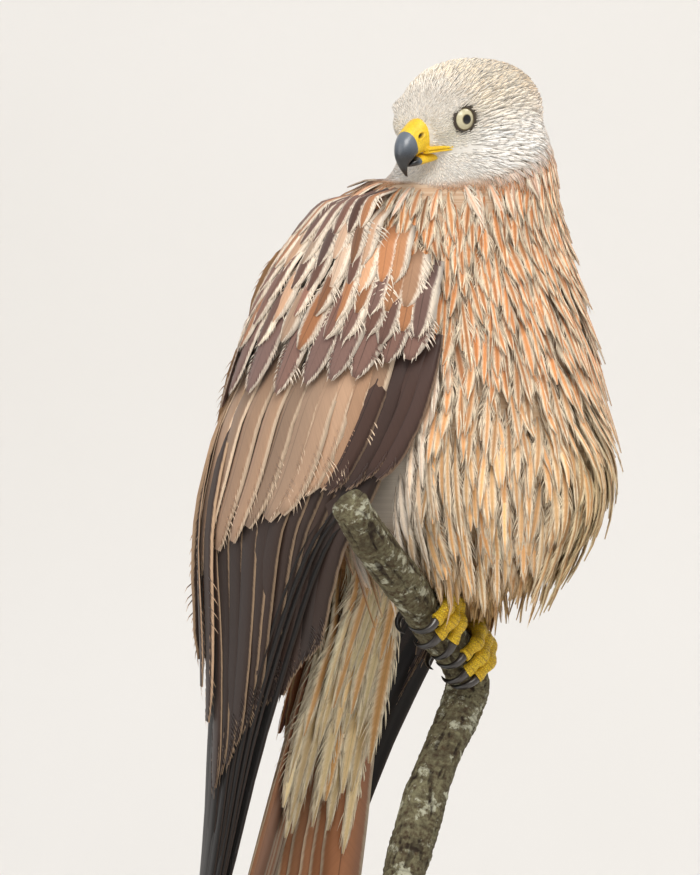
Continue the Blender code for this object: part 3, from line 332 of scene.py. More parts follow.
# Each plumage: fringe and shaft as shares of the half width, and grain along in mm, across and by feather
plumages = {
    "headHackle": plumageMaterial("headHackle", {
        "roughness": 0.7, "sheen": 0.12, "fringe": 0.4, "soft": 0.2, "ragged": 0.2, "shaft": 0.34,
        "shaftColour": "#43352b", "vary": 0.08, "grain": (0.6, 1.5, 40)}),
    "bodyPlumage": plumageMaterial("bodyPlumage", {
        "roughness": 0.72, "sheen": 0.15, "fringe": 0.5, "soft": 0.34, "ragged": 0.4, "shaft": 0.09,
        "shaftColour": "#2c1d15", "vary": 0.13, "grain": (1.1, 1.2, 40)}),
    "wingVane": plumageMaterial("wingVane", {
        "roughness": 0.52, "sheen": 0.1, "fringe": 0.12, "soft": 0.07, "ragged": 0.12, "shaft": 0.05,
        "shaftColour": "#120d0a", "vary": 0.08, "grain": (1.2, 0.9, 40)}),
    "coverVane": plumageMaterial("coverVane", {
        "roughness": 0.62, "sheen": 0.12, "fringe": 0.24, "soft": 0.09, "ragged": 0.2, "shaft": 0.05,
        "shaftColour": "#2c1e18", "vary": 0.1, "grain": (1.2, 0.9, 40)}),
    "lesserVane": plumageMaterial("lesserVane", {
        "roughness": 0.66, "sheen": 0.14, "fringe": 0.46, "soft": 0.15, "ragged": 0.3, "shaft": 0.06,
        "shaftColour": "#35241b", "vary": 0.12, "grain": (1.1, 1.0, 40)}),
    "tailVane": plumageMaterial("tailVane", {
        "roughness": 0.56, "sheen": 0.1, "fringe": 0.12, "soft": 0.08, "ragged": 0.12, "shaft": 0.05,
        "shaftColour": "#4d2c1c", "vary": 0.1, "grain": (1.2, 0.9, 40)}),
}
print("materials of the plumage made", round(time.time() - started, 1))


def blades(centres, facing, widths, ridge):
    # Points of thin closed strips of triangular section along centre lines, all of one count of stations.
    along = unit(np.gradient(centres, axis=1))
    side = unit(np.cross(along, facing))
    up = np.cross(side, along)
    wide = widths[..., None]
    left = centres - side * wide
    right = centres + side * wide
    top = centres + up * wide * ridge
    return np.stack([left, top, right], axis=2)


def bladeFaces(count, stations, first):
    # Quads and triangles of count strips whose points start at first.
    base = first + np.arange(count)[:, None, None] * stations * 3
    k = np.arange(stations - 1)[None, :, None] * 3
    pair = np.array([(0, 1, 4, 3), (1, 2, 5, 4), (2, 0, 3, 5)])
    quads = (base + k)[..., None] + pair[None, None]
    ends = np.array([(0, 2, 1), tuple((stations - 1) * 3 + c for c in (0, 1, 2))])
    return quads.reshape(-1, 4), (base + ends[None]).reshape(-1, 3)


def take(values, share):
    # Linear reading of values of every feather, shape feather, station, coordinate, at shares of the length.
    count, stations = values.shape[:2]
    place = np.clip(share, 0, 1) * (stations - 1)
    low = np.minimum(place.astype(int), stations - 2)
    part = (place - low)[..., None]
    rows = np.arange(count).reshape(-1, *([1] * (share.ndim - 1)))
    found = values[rows, low] * (1 - part) + values[rows, low + 1] * part
    beyond = np.maximum(share - 1, 0)[..., None] * (stations - 1)
    return found + beyond * (values[rows, -1] - values[rows, -2])


def feathers(name, spines, facing, half, look, colours, unwrap, replaced=(), slot=None):
    # Each feather is a closed, cambered vane with thin loose barbs along its edges and past its tip. spines
    # and facing have feather, station and coordinate, half is each one's half width, and unwrap its root's
    # place on the skin's unwrap.
    count = len(spines)
    rows, strands, steps = look["rows"], look["strands"], 3
    perPiece = int(190000 / (12 * rows + 28 * strands))
    if count > perPiece:
        for number, first in enumerate(range(0, count, perPiece)):
            part = slice(first, first + perPiece)
            feathers(f"{name}_{number + 1}", spines[part], facing[part], half[part], look,
                     {key: value[part] for key, value in colours.items()}, unwrap[part],
                     replaced if number == 0 else (), slot)
        return
    draw = np.random.default_rng(count + 3)
    outline = np.asarray(look["outline"], float)
    length = np.linalg.norm(np.diff(spines, axis=1), axis=-1).sum(1)
    tangent = unit(np.gradient(spines, axis=1))
    side = unit(np.cross(tangent, facing))
    up = np.cross(side, tangent)
    twist = draw.normal(0, look["twist"], (count, 1, 1))
    side, up = unit(side + up * twist), unit(up - side * twist)

    share = np.broadcast_to(np.linspace(0, 0.98, rows), (count, rows))
    wide = rowAt(outline, share)[..., 0] * half[:, None] * look["vane"]
    across = np.array([-1, -0.5, 0, 0.5, 1, 0.0])
    edges = 1 - look["notch"] * draw.uniform(0, 1, (count, rows, 6)) ** 4 * np.abs(across)
    sideways = across * edges * wide[..., None]
    rise = look["thick"] * (1 - np.abs(across)) - look["camber"] * wide[..., None] * across ** 2
    rise[..., 5] = -0.3 * look["thick"]
    vane = (take(spines, share)[:, :, None] + take(side, share)[:, :, None] * sideways[..., None]
            + take(up, share)[:, :, None] * rise[..., None])
    base = np.arange(count)[:, None, None] * rows * 6
    ring = np.array([(k, (k + 1) % 6, (k + 1) % 6 + 6, k + 6) for k in range(6)])
    quads = ((base + np.arange(rows - 1)[None, :, None] * 6)[..., None] + ring).reshape(-1, 4)
    end = (rows - 1) * 6
    caps = np.array([(0, k + 1, k) for k in range(1, 5)] + [(end, end + k, end + k + 1) for k in range(1, 5)])
    triangles = (base + caps).reshape(-1, 3)

    order = (np.arange(strands) + 0.6) / strands
    ends = np.broadcast_to(look["looseFrom"] + (1.01 - look["looseFrom"]) * order ** 0.8, (count, 2, strands))
    group = (np.arange(strands) // look["clump"] + draw.integers(0, 9, (count, 2, 1))) % 16
    pick = np.arange(count)[:, None, None], np.arange(2)[None, :, None], group
    shift, shrink, raised = (part[pick] for part in draw.normal(0, 1, (3, count, 2, 16)))
    reachShare = (look["loose"] / length)[:, None, None]
    ends = ends + (shift * look["fray"] + draw.normal(0, 0.15, ends.shape)) * reachShare * 0.5
    starts = np.clip(ends - reachShare * draw.uniform(0.8, 1.2, ends.shape), 0.02, 0.97)
    breadth = half[:, None, None]
    outer = rowAt(outline, np.clip(ends, 0, 1))[..., 0] * breadth * look["reach"]
    outer = outer * (1 + np.clip(shrink * look["fray"] * 0.5, -0.45, 0.45))
    inner = rowAt(outline, np.clip(starts, 0, 1))[..., 0] * breadth * look["vane"] * 0.6
    t = np.linspace(0, 1, steps)
    shares = starts[..., None] + (ends - starts)[..., None] * t
    lateral = inner[..., None] + (outer - inner)[..., None] * t * (1.5 - 0.5 * t)
    lateral = lateral * np.array([-1, 1])[None, :, None, None]
    rise = (look["thick"] * 0.6 * (1 - t) - look["camber"] * lateral ** 2 / breadth[..., None]
            + raised[..., None] * look["raise"] * t ** 2 * breadth[..., None])
    ups = take(up, shares)
    centres = take(spines, shares) + take(side, shares) * lateral[..., None] + ups * rise[..., None]
    total = count * 2 * strands
    widths = look["width"] * draw.uniform(0.8, 1.2, (total, 1)) * np.array([0.9, 1.0, 0.15])
    loose = blades(centres.reshape(total, steps, 3), ups.reshape(total, steps, 3), widths, 0.4)
    moreQuads, moreTriangles = bladeFaces(total, steps, count * rows * 6)
    made = meshObject(name, np.concatenate([vane.reshape(-1, 3), loose.reshape(-1, 3)]),
                      np.concatenate([quads, moreQuads]), np.concatenate([triangles, moreTriangles]),
                      plumages[look["plumage"]])

    def both(vaneValues, looseValues):
        first = np.broadcast_to(vaneValues, (count, rows, 6)).reshape(-1)
        second = np.broadcast_to(looseValues, (count, 2, strands, steps)).reshape(-1)
        return np.concatenate([first, np.repeat(second, 3)])

    owner = both(np.arange(count)[:, None, None], np.arange(count)[:, None, None, None]).astype(int)
    rim = both(np.abs(across), np.clip(0.55 + 0.6 * t, 0, 1))
    along = both(share[..., None], shares)
    own = draw.uniform(0, 1, (count, 1, 1))
    barb = both((share * length[:, None])[..., None] - np.abs(sideways) * 1.2,
                (ends * length[:, None, None])[..., None] + 0 * t)
    ownStrand = (own * 0.5 + 0.5 * draw.uniform(0, 1, ends.shape))[..., None]
    addValues(made, rim=rim, along=along, barb=barb, strand=both(own, ownStrand),
              streak=colours["streak"][owner])
    # Each feather's colours darken towards its root: painted shade where it lies under the feathers above
    root = smoothStep(0.0, 0.4, along)[:, None] * 0.35 + 0.65
    addValues(made, centre=colours["centre"][owner] * root, edge=colours["edge"][owner] * root)
    signed = both(np.sign(across), np.array([-1, 1])[None, :, None, None]) * rim
    patch = look.get("patch", 0.003)
    flat = unwrap[owner] + np.stack([signed * patch / 2, (np.clip(along, 0, 1) - 0.5) * patch], -1)
    layUnwrap(made, np.clip(flat, 0, 1))
    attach(made, "root")
    if replaced:
        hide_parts(*replaced)


def layUnwrap(made, flat):
    # Writes one place on the unwrap per point to the map that the export bakes into.
    corners = np.zeros(len(made.data.loops), np.int32)
    made.data.loops.foreach_get("vertex_index", corners)
    layer = made.data.uv_layers.new(name="OFBake")
    layer.uv.foreach_set("vector", flat[corners].astype(np.float32).ravel())


# The skin: trunk, head, both wings' flesh, rump and thighs in one, inside the solids by the coat's depth.
# Brow ridge and lores are lumps before and over each eye, and bare skin rings it.
skinLook = {"trunkDepth": 3.0, "headDepth": 2.6, "thighDepth": 2.5, "wingDepth": 4.5, "voxel": 2.4,
            "smoothing": 8,
            "browPlace": (19.0, 20.0, 13.8), "browRadii": (12.0, 5.4, 3.4), "loresPlace": (30.0, 13.5, 4.0),
            "loresRadii": (8.5, 6.4, 9.5), "barePlace": (20.5, 21.0, 4.8), "bareRadii": (8.0, 10.5),
            "bareColour": "#4a3f2c"}
feetPlaces = {
    "right": {"grip": 3.3, "hip": (-28, 2, 428)},
    "left": {"grip": 4.72, "hip": (28, 4, 422)},
}
branchRows = (
    (-125, -52, 406, 11.5), (-93, -40, 383, 11.8), (-61, -28, 363.5, 12.0), (-32, -16, 347, 12.3),
    (-8, -9, 332, 12.6), (14, -4, 316, 13.0), (20, -2, 301, 13.0), (12, -3, 284, 12.2), (-1, -4, 264, 12.2),
    (-16, -4, 238, 12.6), (-27, -4, 212, 13.0), (-34, -4, 192, 13.2), (-37, -4, 176, 13.4),
)
branchTable = [(i, *row) for i, row in enumerate(branchRows)]


def branchFrame(place):
    place = np.asarray(place, float)
    found = rowAt(branchTable, place)
    ahead = rowAt(branchTable, np.minimum(place + 0.05, len(branchRows) - 1))[..., :3]
    behind = rowAt(branchTable, np.maximum(place - 0.05, 0))[..., :3]
    along = unit(ahead - behind)
    front = np.array([0.0, -1.0, 0.0]) - along * (-along[..., 1:2])
    front = unit(front)
    return found[..., :3], found[..., 3], along, front, np.cross(along, front)


def gripPoint(place, angle, reach):
    # A point round the branch: angle 0 on its top, positive in front, in degrees.
    centre, radius, along, front, up = branchFrame(place)
    up = np.where(up[..., 2:3] < 0, -up, up)
    turn = np.radians(angle)[..., None]
    return centre + (front * np.sin(turn) + up * np.cos(turn)) * (radius + reach)[..., None]


def legLine(side):
    return gripPoint(np.array(feetPlaces[side]["grip"]), np.array(4.0),
                     np.array(9.0)), np.array(feetPlaces[side]["hip"], float)


def headSurface(forward, angle, grow=0.0):
    line, half, above, below = np.moveaxis(rowAt(headRows, forward), -1, 0)
    rise = np.where(np.cos(angle) > 0, above, below) + grow
    turned = np.degrees(np.abs(np.pi - np.abs(np.pi - np.mod(angle, 2 * np.pi))))
    nearEye = np.exp(-(((forward - 23) / 10) ** 2))
    hollow = 0.17 * nearEye * np.exp(-(((turned - 84) / 24) ** 2))
    brow = 0.07 * nearEye * np.exp(-(((turned - 50) / 14) ** 2))
    across = (half + grow) * np.sin(angle) * (1 - hollow + brow)
    return fromHead(forward, across, line + rise * np.cos(angle))


def wingPoint(side, across, height):
    # A point on a wing's outer surface. across is 0 at its front edge and 1 at its inner edge.
    across, height = np.broadcast_arrays(np.asarray(across, float), np.asarray(height, float))
    corners = rowAt(wingRows, height).reshape(*height.shape, 4, 2)
    slopes = np.stack([corners[..., 1, :] - corners[..., 0, :], (corners[..., 2, :] - corners[..., 0, :]) / 2,
                       (corners[..., 3, :] - corners[..., 1, :]) / 2,
                       corners[..., 3, :] - corners[..., 2, :]], -2)
    inside = np.clip(across, 0, 1) * 3
    i = np.clip(inside.astype(int), 0, 2)
    share = (inside - i)[..., None]
    pick = np.take_along_axis
    index = i[..., None, None]
    first, second = pick(corners, index, -2)[..., 0, :], pick(corners, index + 1, -2)[..., 0, :]
    slopeA, slopeB = pick(slopes, index, -2)[..., 0, :], pick(slopes, index + 1, -2)[..., 0, :]
    square, cube = share ** 2, share ** 3
    flat = (first * (1 - 3 * square + 2 * cube) + second * (3 * square - 2 * cube)
            + slopeA * (share - 2 * square + cube) + slopeB * (cube - square))
    over = np.maximum(across - 1, 0)[..., None]
    under = np.maximum(-across, 0)[..., None]
    flat = flat + (corners[..., 3, :] - corners[..., 2, :]) * over * 0.6
    flat = flat + (corners[..., 0, :] - corners[..., 1, :]) * under * 2.0
    if side == "left":
        shift = rowAt(closerFold, height) * (1 - np.clip(across, 0, 1))[..., None]
        flat = flat + shift[..., ::-1]
    point = np.concatenate([flat, height[..., None]], -1)
    if side == "left":
        point = point * [-1, 1, 1]
    return point


def wingSurface(side, across, height):
    point = wingPoint(side, across, height)
    a = wingPoint(side, across + 0.01, height) - wingPoint(side, across - 0.01, height)
    b = wingPoint(side, across, height + 2.0) - wingPoint(side, across, height - 2.0)
    normal = unit(np.cross(a, b))
    outward = point - np.stack([np.zeros_like(point[..., 0]), np.full_like(point[..., 0], 20.0),
                                point[..., 2]], -1)
    return point, np.where(np.sum(normal * outward, -1, keepdims=True) > 0, normal, -normal)


def ellipsoidRings(centre, axes, radii, rings=24, around=48):
    # Rings of an ellipsoid from its first axis's far end to the near one
    polar = np.linspace(0.02, np.pi - 0.02, rings)[:, None, None]
    turn = np.linspace(0, 2 * np.pi, around, endpoint=False)[None, :, None]
    return (centre + axes[0] * radii[0] * np.cos(polar) + axes[1] * radii[1] * np.sin(polar) * np.cos(turn)
            + axes[2] * radii[2] * np.sin(polar) * np.sin(turn))


def buildSkin():
    turn = np.linspace(0, 2 * np.pi, 72, endpoint=False)
    heights = np.linspace(trunkRows[0][0], trunkRows[-1][0], 60)
    pieces = [tubeObject("trunk", trunkPoint(turn[None], heights[:, None], -skinLook["trunkDepth"]))]
    places = np.linspace(headRows[0][0] + 2, headRows[-1][0] - 1, 50)
    pieces.append(tubeObject("skull", headSurface(places[:, None], turn[None], -skinLook["headDepth"])))
    for side in (-1, 1):
        axes = (unit(headForward - 0.12 * headUp), headLeft * side, unit(headUp + 0.12 * headForward))
        for part in ("brow", "lores"):
            forward, left, upward = skinLook[part + "Place"]
            lump = ellipsoidRings(fromHead(forward, side * left, upward), axes, skinLook[part + "Radii"])
            pieces.append(tubeObject(part, lump))
    for side in ("right", "left"):
        ankle, hip = legLine(side)
        upward = unit(hip - ankle)
        top, bottom = hip + upward * 6, ankle + upward * 5
        down = unit(bottom - top)
        forward = unit(np.array([0, -1.0, 0]) - down * (-down[1]))
        across = np.cross(down, forward)
        length = np.linalg.norm(bottom - top)
        share = np.linspace(0, 1, 20)[:, None, None]
        radius = (27.0 - 15.5 * smoothStep(0.1, 1.0, share)) * (0.45 + 0.55 * smoothStep(-0.1, 0.3, share))
        radius = radius - skinLook["thighDepth"]
        pieces.append(tubeObject("thigh", top + down * length * share + forward
                                 * np.cos(turn)[None, :, None] * radius * 1.1
                                 + across * np.sin(turn)[None, :, None] * radius * 0.95))
        level = np.linspace(0, 1, 24)[:, None]
        acrossWing = np.linspace(0, 1, 24)[None]
        foot = 436.0 + (384.0 - 436.0) * smoothStep(0.0, 0.8, acrossWing)
        height = foot + (592.0 - foot) * level
        outer = wingPoint(side, acrossWing + 0 * level, height)
        middle = rowAt(trunkRows, height)[..., 0]
        toward = np.stack([np.zeros_like(height), middle, height], -1) - outer
        far = np.linalg.norm(toward, axis=-1, keepdims=True)
        inset = (skinLook["wingDepth"] + 3.0 * (1 - smoothStep(0.0, 0.5, level)))[..., None] + 0 * far
        depth = inset + 8 + 20 * smoothStep(0.0, 0.45, level)[..., None]
        near = outer + toward * np.minimum(inset / far, 0.3)
        deep = outer + toward * np.minimum(depth / far, 0.8)
        pieces.append(tubeObject("wing", np.concatenate([near, deep[:, ::-1]], 1)))
    lean = math.radians(tailLook["lean"])
    share = np.linspace(0, 1, 20)[:, None, None]
    centre = np.array(tailLook["root"]) + np.array([0, math.sin(lean), -math.cos(lean)]) * (-34 + 88 * share)
    centre = centre + np.array([0, -13.0, 0]) + np.array([0, 8.0, 0]) * share
    end = np.sin(np.pi * (0.12 + 0.80 * share)) ** 0.4
    ring = np.stack([(29 - 12 * share[..., 0]) * end[..., 0] * np.cos(turn),
                     (23 - 15 * share[..., 0]) * end[..., 0]
                     * np.sin(turn), np.zeros((20, 72))], -1)
    pieces.append(tubeObject("rump", centre + ring))
    return fused("skin", pieces, skinLook["voxel"], skinLook["smoothing"])


skin = buildSkin()
skinPoints = pointsOf(skin)
skin.data.calc_loop_triangles()
skinTriangles = np.zeros(len(skin.data.loop_triangles) * 3, np.int32)
skin.data.loop_triangles.foreach_get("vertices", skinTriangles)
skinTriangles = skinTriangles.reshape(-1, 3)
skinTree = BVHTree.FromPolygons([tuple(p) for p in skinPoints],
                                [tuple(int(c) for c in t) for t in skinTriangles])
print("skin made", len(skinPoints), "points", round(time.time() - started, 1))


def headShare(points):
    # 1 on the head and 0 below the line from chin to nape, with a soft border
    forward, left, upward = toHead(points)
    far = np.sqrt((forward + 8) ** 2 + left ** 2 + upward ** 2)
    return smoothStep(-7.0, 7.0, (np.asarray(points) - chin) @ neckNormal) * smoothStep(58, 52, far)


def trunkAngle(points):
    middle, half, front, back = np.moveaxis(rowAt(trunkRows, points[..., 2]), -1, 0)
    depth = np.where(points[..., 1] < middle, front, back)
    return np.arctan2(-points[..., 0] / half, (middle - points[..., 1]) / depth)


# Colours of the coat, as a person would name them from a step away
coatColours = {
    "forehead": "#e6ddd0", "crown": "#ebdcc2", "cheek": "#f1ede7", "throat": "#ebe6de",
    "hindCrown": "#dcb98c",
    "lores": "#c9c1a6", "headEdge": "#f8f3ea", "rufous": "#c4824e", "deepRufous": "#a9602f",
    "cream": "#efdfc4",
    "paleBreast": "#dfb380", "white": "#efe4d4", "bellyOrange": "#dca96e", "olive": "#8d6a3c",
    "oliveEdge": "#dbc596",
    "napeBuff": "#c89460", "mantle": "#4f372b", "mantleEdge": "#b08a66", "trouser": "#7f5d33",
    "trouserEdge": "#cfa466",
}
coatColours = {key: toLinear(code) for key, code in coatColours.items()}


def coatAt(points):
    # Centre and edge colour and strength of the shaft streak for feathers rooted at points.
    c = coatColours
    height, angle = points[..., 2], trunkAngle(points)
    forward, left, upward = toHead(points)
    onHead = headShare(points)
    one = np.ones_like(height)
    degrees = np.degrees(angle)
    low = smoothStep(520, 440, height)
    centre = mix(c["rufous"] * one[..., None], c["paleBreast"], 0.75 * low)
    edge = c["cream"] * one[..., None]
    streak = 0.35 + 0.6 * smoothStep(520, 590, height)
    # Olive-brown strands low on the side that turns away
    olive = smoothStep(30, -12, degrees) * smoothStep(500, 425, height) * smoothStep(-120, -80, degrees)
    centre, edge = mix(centre, c["olive"], 0.8 * olive), mix(edge, c["oliveEdge"], 0.85 * olive)
    orange = smoothStep(20, 45, degrees) * smoothStep(470, 420, height)
    centre = mix(centre, c["bellyOrange"], 0.8 * orange)
    # White down where the wing's front edge lies against the flank
    line = rowAt(((386, 86), (426, 70), (484, 57), (520, 52), (560, 68)), height)[..., 0]
    sideways = np.abs(degrees)
    flank = smoothStep(-5, 8, sideways - line) * smoothStep(545, 500, height) * smoothStep(140, 110, sideways)
    centre, edge = mix(centre, c["white"], 0.85 * flank), mix(edge, c["white"], flank)
    streak = streak * (1 - flank)
    back = smoothStep(115, 140, np.abs(degrees)) * smoothStep(606, 588, height) * (1 - onHead)
    centre, edge = mix(centre, c["mantle"], back), mix(edge, c["mantleEdge"], back)
    rump = smoothStep(440, 400, height) * smoothStep(20, 50, points[..., 1])
    centre, edge = mix(centre, c["deepRufous"], rump), mix(edge, c["trouserEdge"], rump)
    trouser = smoothStep(402, 378, height) * (1 - rump)
    centre, edge = mix(centre, c["trouser"], 0.75 * trouser), mix(edge, c["trouserEdge"], 0.7 * trouser)
    # Head: white cheeks and throat, greyish forehead, buff towards the nape
    behind = smoothStep(-12, -52, forward)
    high = smoothStep(-8, 14, upward)
    headCentre = mix(c["cheek"] * one[..., None], c["crown"], high)
    headCentre = mix(headCentre, c["forehead"], high * smoothStep(8, 26, forward))
    headCentre = mix(headCentre, c["hindCrown"], 0.85 * behind * smoothStep(-26, 2, upward))
    headCentre = mix(headCentre, c["throat"], smoothStep(-18, -28, upward) * smoothStep(-10, 10, forward))
    face = np.exp(-((forward - 31) / 9) ** 2 - ((upward + 2) / 9) ** 2)
    headCentre = mix(headCentre, c["lores"], np.clip(0.8 * face, 0, 1))
    headStreak = 0.25 + 0.7 * high * (1 - face) + 0.5 * behind
    headEdge = mix(c["headEdge"] * one[..., None], c["napeBuff"], 0.45 * behind)
    collar = smoothStep(0.02, 0.35, onHead) * (1 - smoothStep(0.4, 0.95, onHead))
    centre = mix(centre, headCentre, onHead)
    edge = mix(edge, headEdge, onHead)
    streak = streak * (1 - onHead) + headStreak * onHead + 0.2 * collar
    return centre, edge, np.clip(streak, 0, 1)


def scatter(mask, spacingAt, tries, seed):
    # Points on the skin where mask allows, kept apart by a spacing that varies over it.
    draw = np.random.default_rng(seed)
    corners = skinPoints[skinTriangles]
    centres = corners.mean(1)
    allowed = mask(centres)
    cross = np.cross(corners[:, 1] - corners[:, 0], corners[:, 2] - corners[:, 0])
    area = np.linalg.norm(cross, axis=1) * allowed
    picked = draw.choice(len(area), tries, p=area / area.sum())
    a, b = draw.uniform(0, 1, (2, tries, 1))
    flip = a + b > 1
    a, b = np.where(flip, 1 - a, a), np.where(flip, 1 - b, b)
    points = corners[picked, 0] * (1 - a - b) + corners[picked, 1] * a + corners[picked, 2] * b
    spacing = spacingAt(points)
    cell = float(spacing.max())
    grid, chosen = {}, []
    cells = np.floor(points / cell).astype(int)
    for i in range(tries):
        x, y, z = cells[i]
        point, gap = points[i], spacing[i] ** 2
        near = False
        for key in ((x + dx, y + dy, z + dz) for dx in (-1, 0, 1) for dy in (-1, 0, 1) for dz in (-1, 0, 1)):
            for j in grid.get(key, ()):
                away = points[j] - point
                if away[0] * away[0] + away[1] * away[1] + away[2] * away[2] < gap:
                    near = True
                    break
            if near:
                break
        if not near:
            grid.setdefault((x, y, z), []).append(i)
            chosen.append(i)
    return points[chosen]


billBase = Vector(fromHead(40, 0, -3))


def lieAt(place, facing, onHead):
    # Way that the coat lies at a place: away from the bill on the head, and down the body.
    away = (place - billBase).normalized()
    down = Vector((0, 0, -1))
    way = away * onHead + down * (1 - onHead)
    way = way - facing * way.dot(facing)
    return way.normalized() if way.length > 1e-6 else down


def laySpines(roots, length, lift, hug, stations, rootDepth, jitter, seed):
    # Centre lines of feathers, walked along the skin from their roots. Where hug is 0 they hang free.
    draw = random.Random(seed)
    spines = np.zeros((len(roots), stations, 3))
    facings = np.zeros((len(roots), stations, 3))
    shares = headShare(roots)
    for i, root in enumerate(roots):
        place = Vector(root)
        near, facing, _, _ = skinTree.find_nearest(place)
        turn = Matrix.Rotation(draw.gauss(0, jitter), 3, facing)
        step = length[i] / (stations - 1)
        onHead = float(shares[i])
        way = None
        for k in range(stations):
            near, found, _, _ = skinTree.find_nearest(place)
            facing = (facing * 0.5 + found).normalized()
            share = k / (stations - 1)
            want = -rootDepth + (lift[i] + rootDepth) * (share ** 0.7)
            height = (place - near).dot(found)
            if height < want:
                place = place + found * (want - height)
            else:
                place = place + found * (want - height) * hug[i]
            spines[i, k] = place
            facings[i, k] = facing
            lie = turn @ lieAt(place, facing, onHead)
            if way is not None and hug[i] < 1:
                lie = (lie * (0.4 + 0.6 * hug[i]) + Vector((0, 0, -1)) * (1 - hug[i])).normalized()
            way = lie
            place = place + lie * step
    return spines, facings


bodyOutline = ((0, 0.4), (0.25, 0.75), (0.6, 1.0), (0.85, 0.66), (1, 0.1))
bodyLook = {"rows": 6, "strands": 12, "vane": 0.72, "reach": 1.15, "looseFrom": 0.25, "loose": 10.0,
            "clump": 3,
            "fray": 0.5, "raise": 0.12, "camber": 0.25, "thick": 0.5, "notch": 0.25, "twist": 0.14,
            "width": 0.27,
            "outline": bodyOutline, "plumage": "bodyPlumage"}


# Body feathers' length, half width and lift of the tip off the skin, each by height of the root
bodySizes = {
    "length": ((350, 22), (375, 27), (400, 42), (440, 42), (480, 38), (540, 34), (590, 28), (620, 21),
               (650, 15)),
    "half": ((350, 2.6), (400, 3.4), (470, 4.0), (560, 4.0), (610, 3.2), (650, 2.6)),
    "lift": ((350, 5), (400, 9), (430, 10), (470, 9), (530, 7.5), (570, 5.5), (610, 4.2), (650, 3.2)),
}
# Spacing as a share of the length, and how many feathers hang loose, how low and how much longer
bodySpread = {"spacing": 0.19, "tries": 40000, "looseShare": 0.22, "looseBelow": 545, "looseLonger": 1.4,
              "looseHalf": 0.7,
              "looseLift": 1.3, "backLift": 11.0}


def bodyUnwrap(points):
    # Place of points on the trunk's unwrap: round it, and up it.
    return np.stack([0.01 + 0.98 * (trunkAngle(points) / (2 * np.pi) + 0.5),
                     0.01 + 0.98 * np.clip((points[..., 2] - 330) / 350, 0, 1)], -1)


def headUnwrap(points):
    forward, left, upward = toHead(points)
    return np.stack([0.01 + 0.98 * (np.arctan2(left, upward) / (2 * np.pi) + 0.5),
                     0.01 + 0.98 * np.clip((forward + 64) / 112, 0, 1)], -1)


def varied(colours, draw, amount):
    # Each feather a little lighter or darker and warmer or greyer than its neighbours.
    count = len(colours["centre"])
    light = np.exp(draw.normal(0, amount, (count, 1)))
    warm = draw.normal(0, amount * 0.35, (count, 1)) * np.array([[1.0, 0.0, -1.0]])
    dark = (draw.uniform(0, 1, (count, 1)) < 0.12) * 0.35
    return {"centre": np.clip(colours["centre"] * light * (1 + warm) * (1 - dark), 0, 1),
            "edge": np.clip(colours["edge"] * np.exp(draw.normal(0, amount * 0.5, (count, 1))), 0, 1),
            "streak": np.clip(colours["streak"] * draw.uniform(0.3, 1.3, count), 0, 1)}


def wingEdgeDegrees(height):
    edge = rowAt(wingRows, height)[..., :2]
    middle, half, front, _ = np.moveaxis(rowAt(trunkRows, height), -1, 0)
    return np.degrees(np.arctan2(-edge[..., 0] / half, (middle - edge[..., 1]) / front))


def onBody(points):
    # Where small body feathers grow: breast, belly, flanks, neck and the strip of the back between the wings
    height = points[:, 2]
    degrees = np.abs(np.degrees(trunkAngle(points)))
    over = -4 + 54 * smoothStep(535, 572, height)  # the neck's feathers lie over the shoulder
    front = degrees < wingEdgeDegrees(np.clip(height, 386, 596)) + over
    back = (np.abs(points[:, 0]) < 34) & (points[:, 1] > 30) & (height > 440)
    neck = height > 588
    legs = (height < 400) & (points[:, 1] < 40)
    return (front | back | neck | legs) & (headShare(points) < 0.4)


def bodyLength(points):
    height = points[:, 2]
    degrees = np.degrees(trunkAngle(points))
    length = rowAt(bodySizes["length"], height)[:, 0]
    back = smoothStep(115, 150, np.abs(degrees)) * smoothStep(600, 560, height)
    return length * (1 + 0.25 * back)


def dressBody():
    roots = scatter(onBody, lambda p: bodySpread["spacing"] * np.clip(bodyLength(p), 16, 36),
                    bodySpread["tries"], 11)
    draw = np.random.default_rng(12)
    count = len(roots)
    height = roots[:, 2]
    # Long strands that hang free of the rest
    loose = (draw.uniform(0, 1, count) < bodySpread["looseShare"]) & (height < bodySpread["looseBelow"])
    longer = np.where(loose, bodySpread["looseLonger"], 1.0)
    length = bodyLength(roots) * draw.uniform(0.85, 1.2, count) * longer
    half = rowAt(bodySizes["half"], height)[:, 0]
    half = half * draw.uniform(0.8, 1.2, count) * np.where(loose, bodySpread["looseHalf"], 1.0)
    lift = rowAt(bodySizes["lift"], height)[:, 0]
    lift = lift * draw.uniform(0.8, 1.25, count) * np.where(loose, bodySpread["looseLift"], 1.0)
    back = (roots[:, 1] > 30) & (np.abs(roots[:, 0]) < 34) & (height < 600)
    lift = np.where(back, bodySpread["backLift"], lift)
    hug = smoothStep(385, 440, height) * np.where(loose, 0.5, 0.9)
    hug = np.where(back, 1.0, hug)
    spines, facings = laySpines(roots, length, lift, hug, 6, 1.5, 0.12, 13)
    centre, edge, streak = coatAt(roots)
    colours = varied({"centre": centre, "edge": edge, "streak": streak}, draw, 0.15)
    feathers("body_feathers", spines, facings, half, bodyLook, colours, bodyUnwrap(roots),
             slot="rufous_plumage")
    print("body feathers", count, round(time.time() - started, 1))


# Head feathers: bare ring round each eye, bare line at the mouth, spacing and length from face to nape
headCoat = {"eyePlace": (20.5, 19.4, 4.8), "eyeClear": 7.9, "mouthFrom": 17, "mouthHalf": 1.7,
            "billFrom": 38.5, "spacing": 0.55, "spacingBehind": 0.95, "tries": 80000, "length": 2.6,
            "lengthBehind": 8.4, "lengthNape": 4.5}


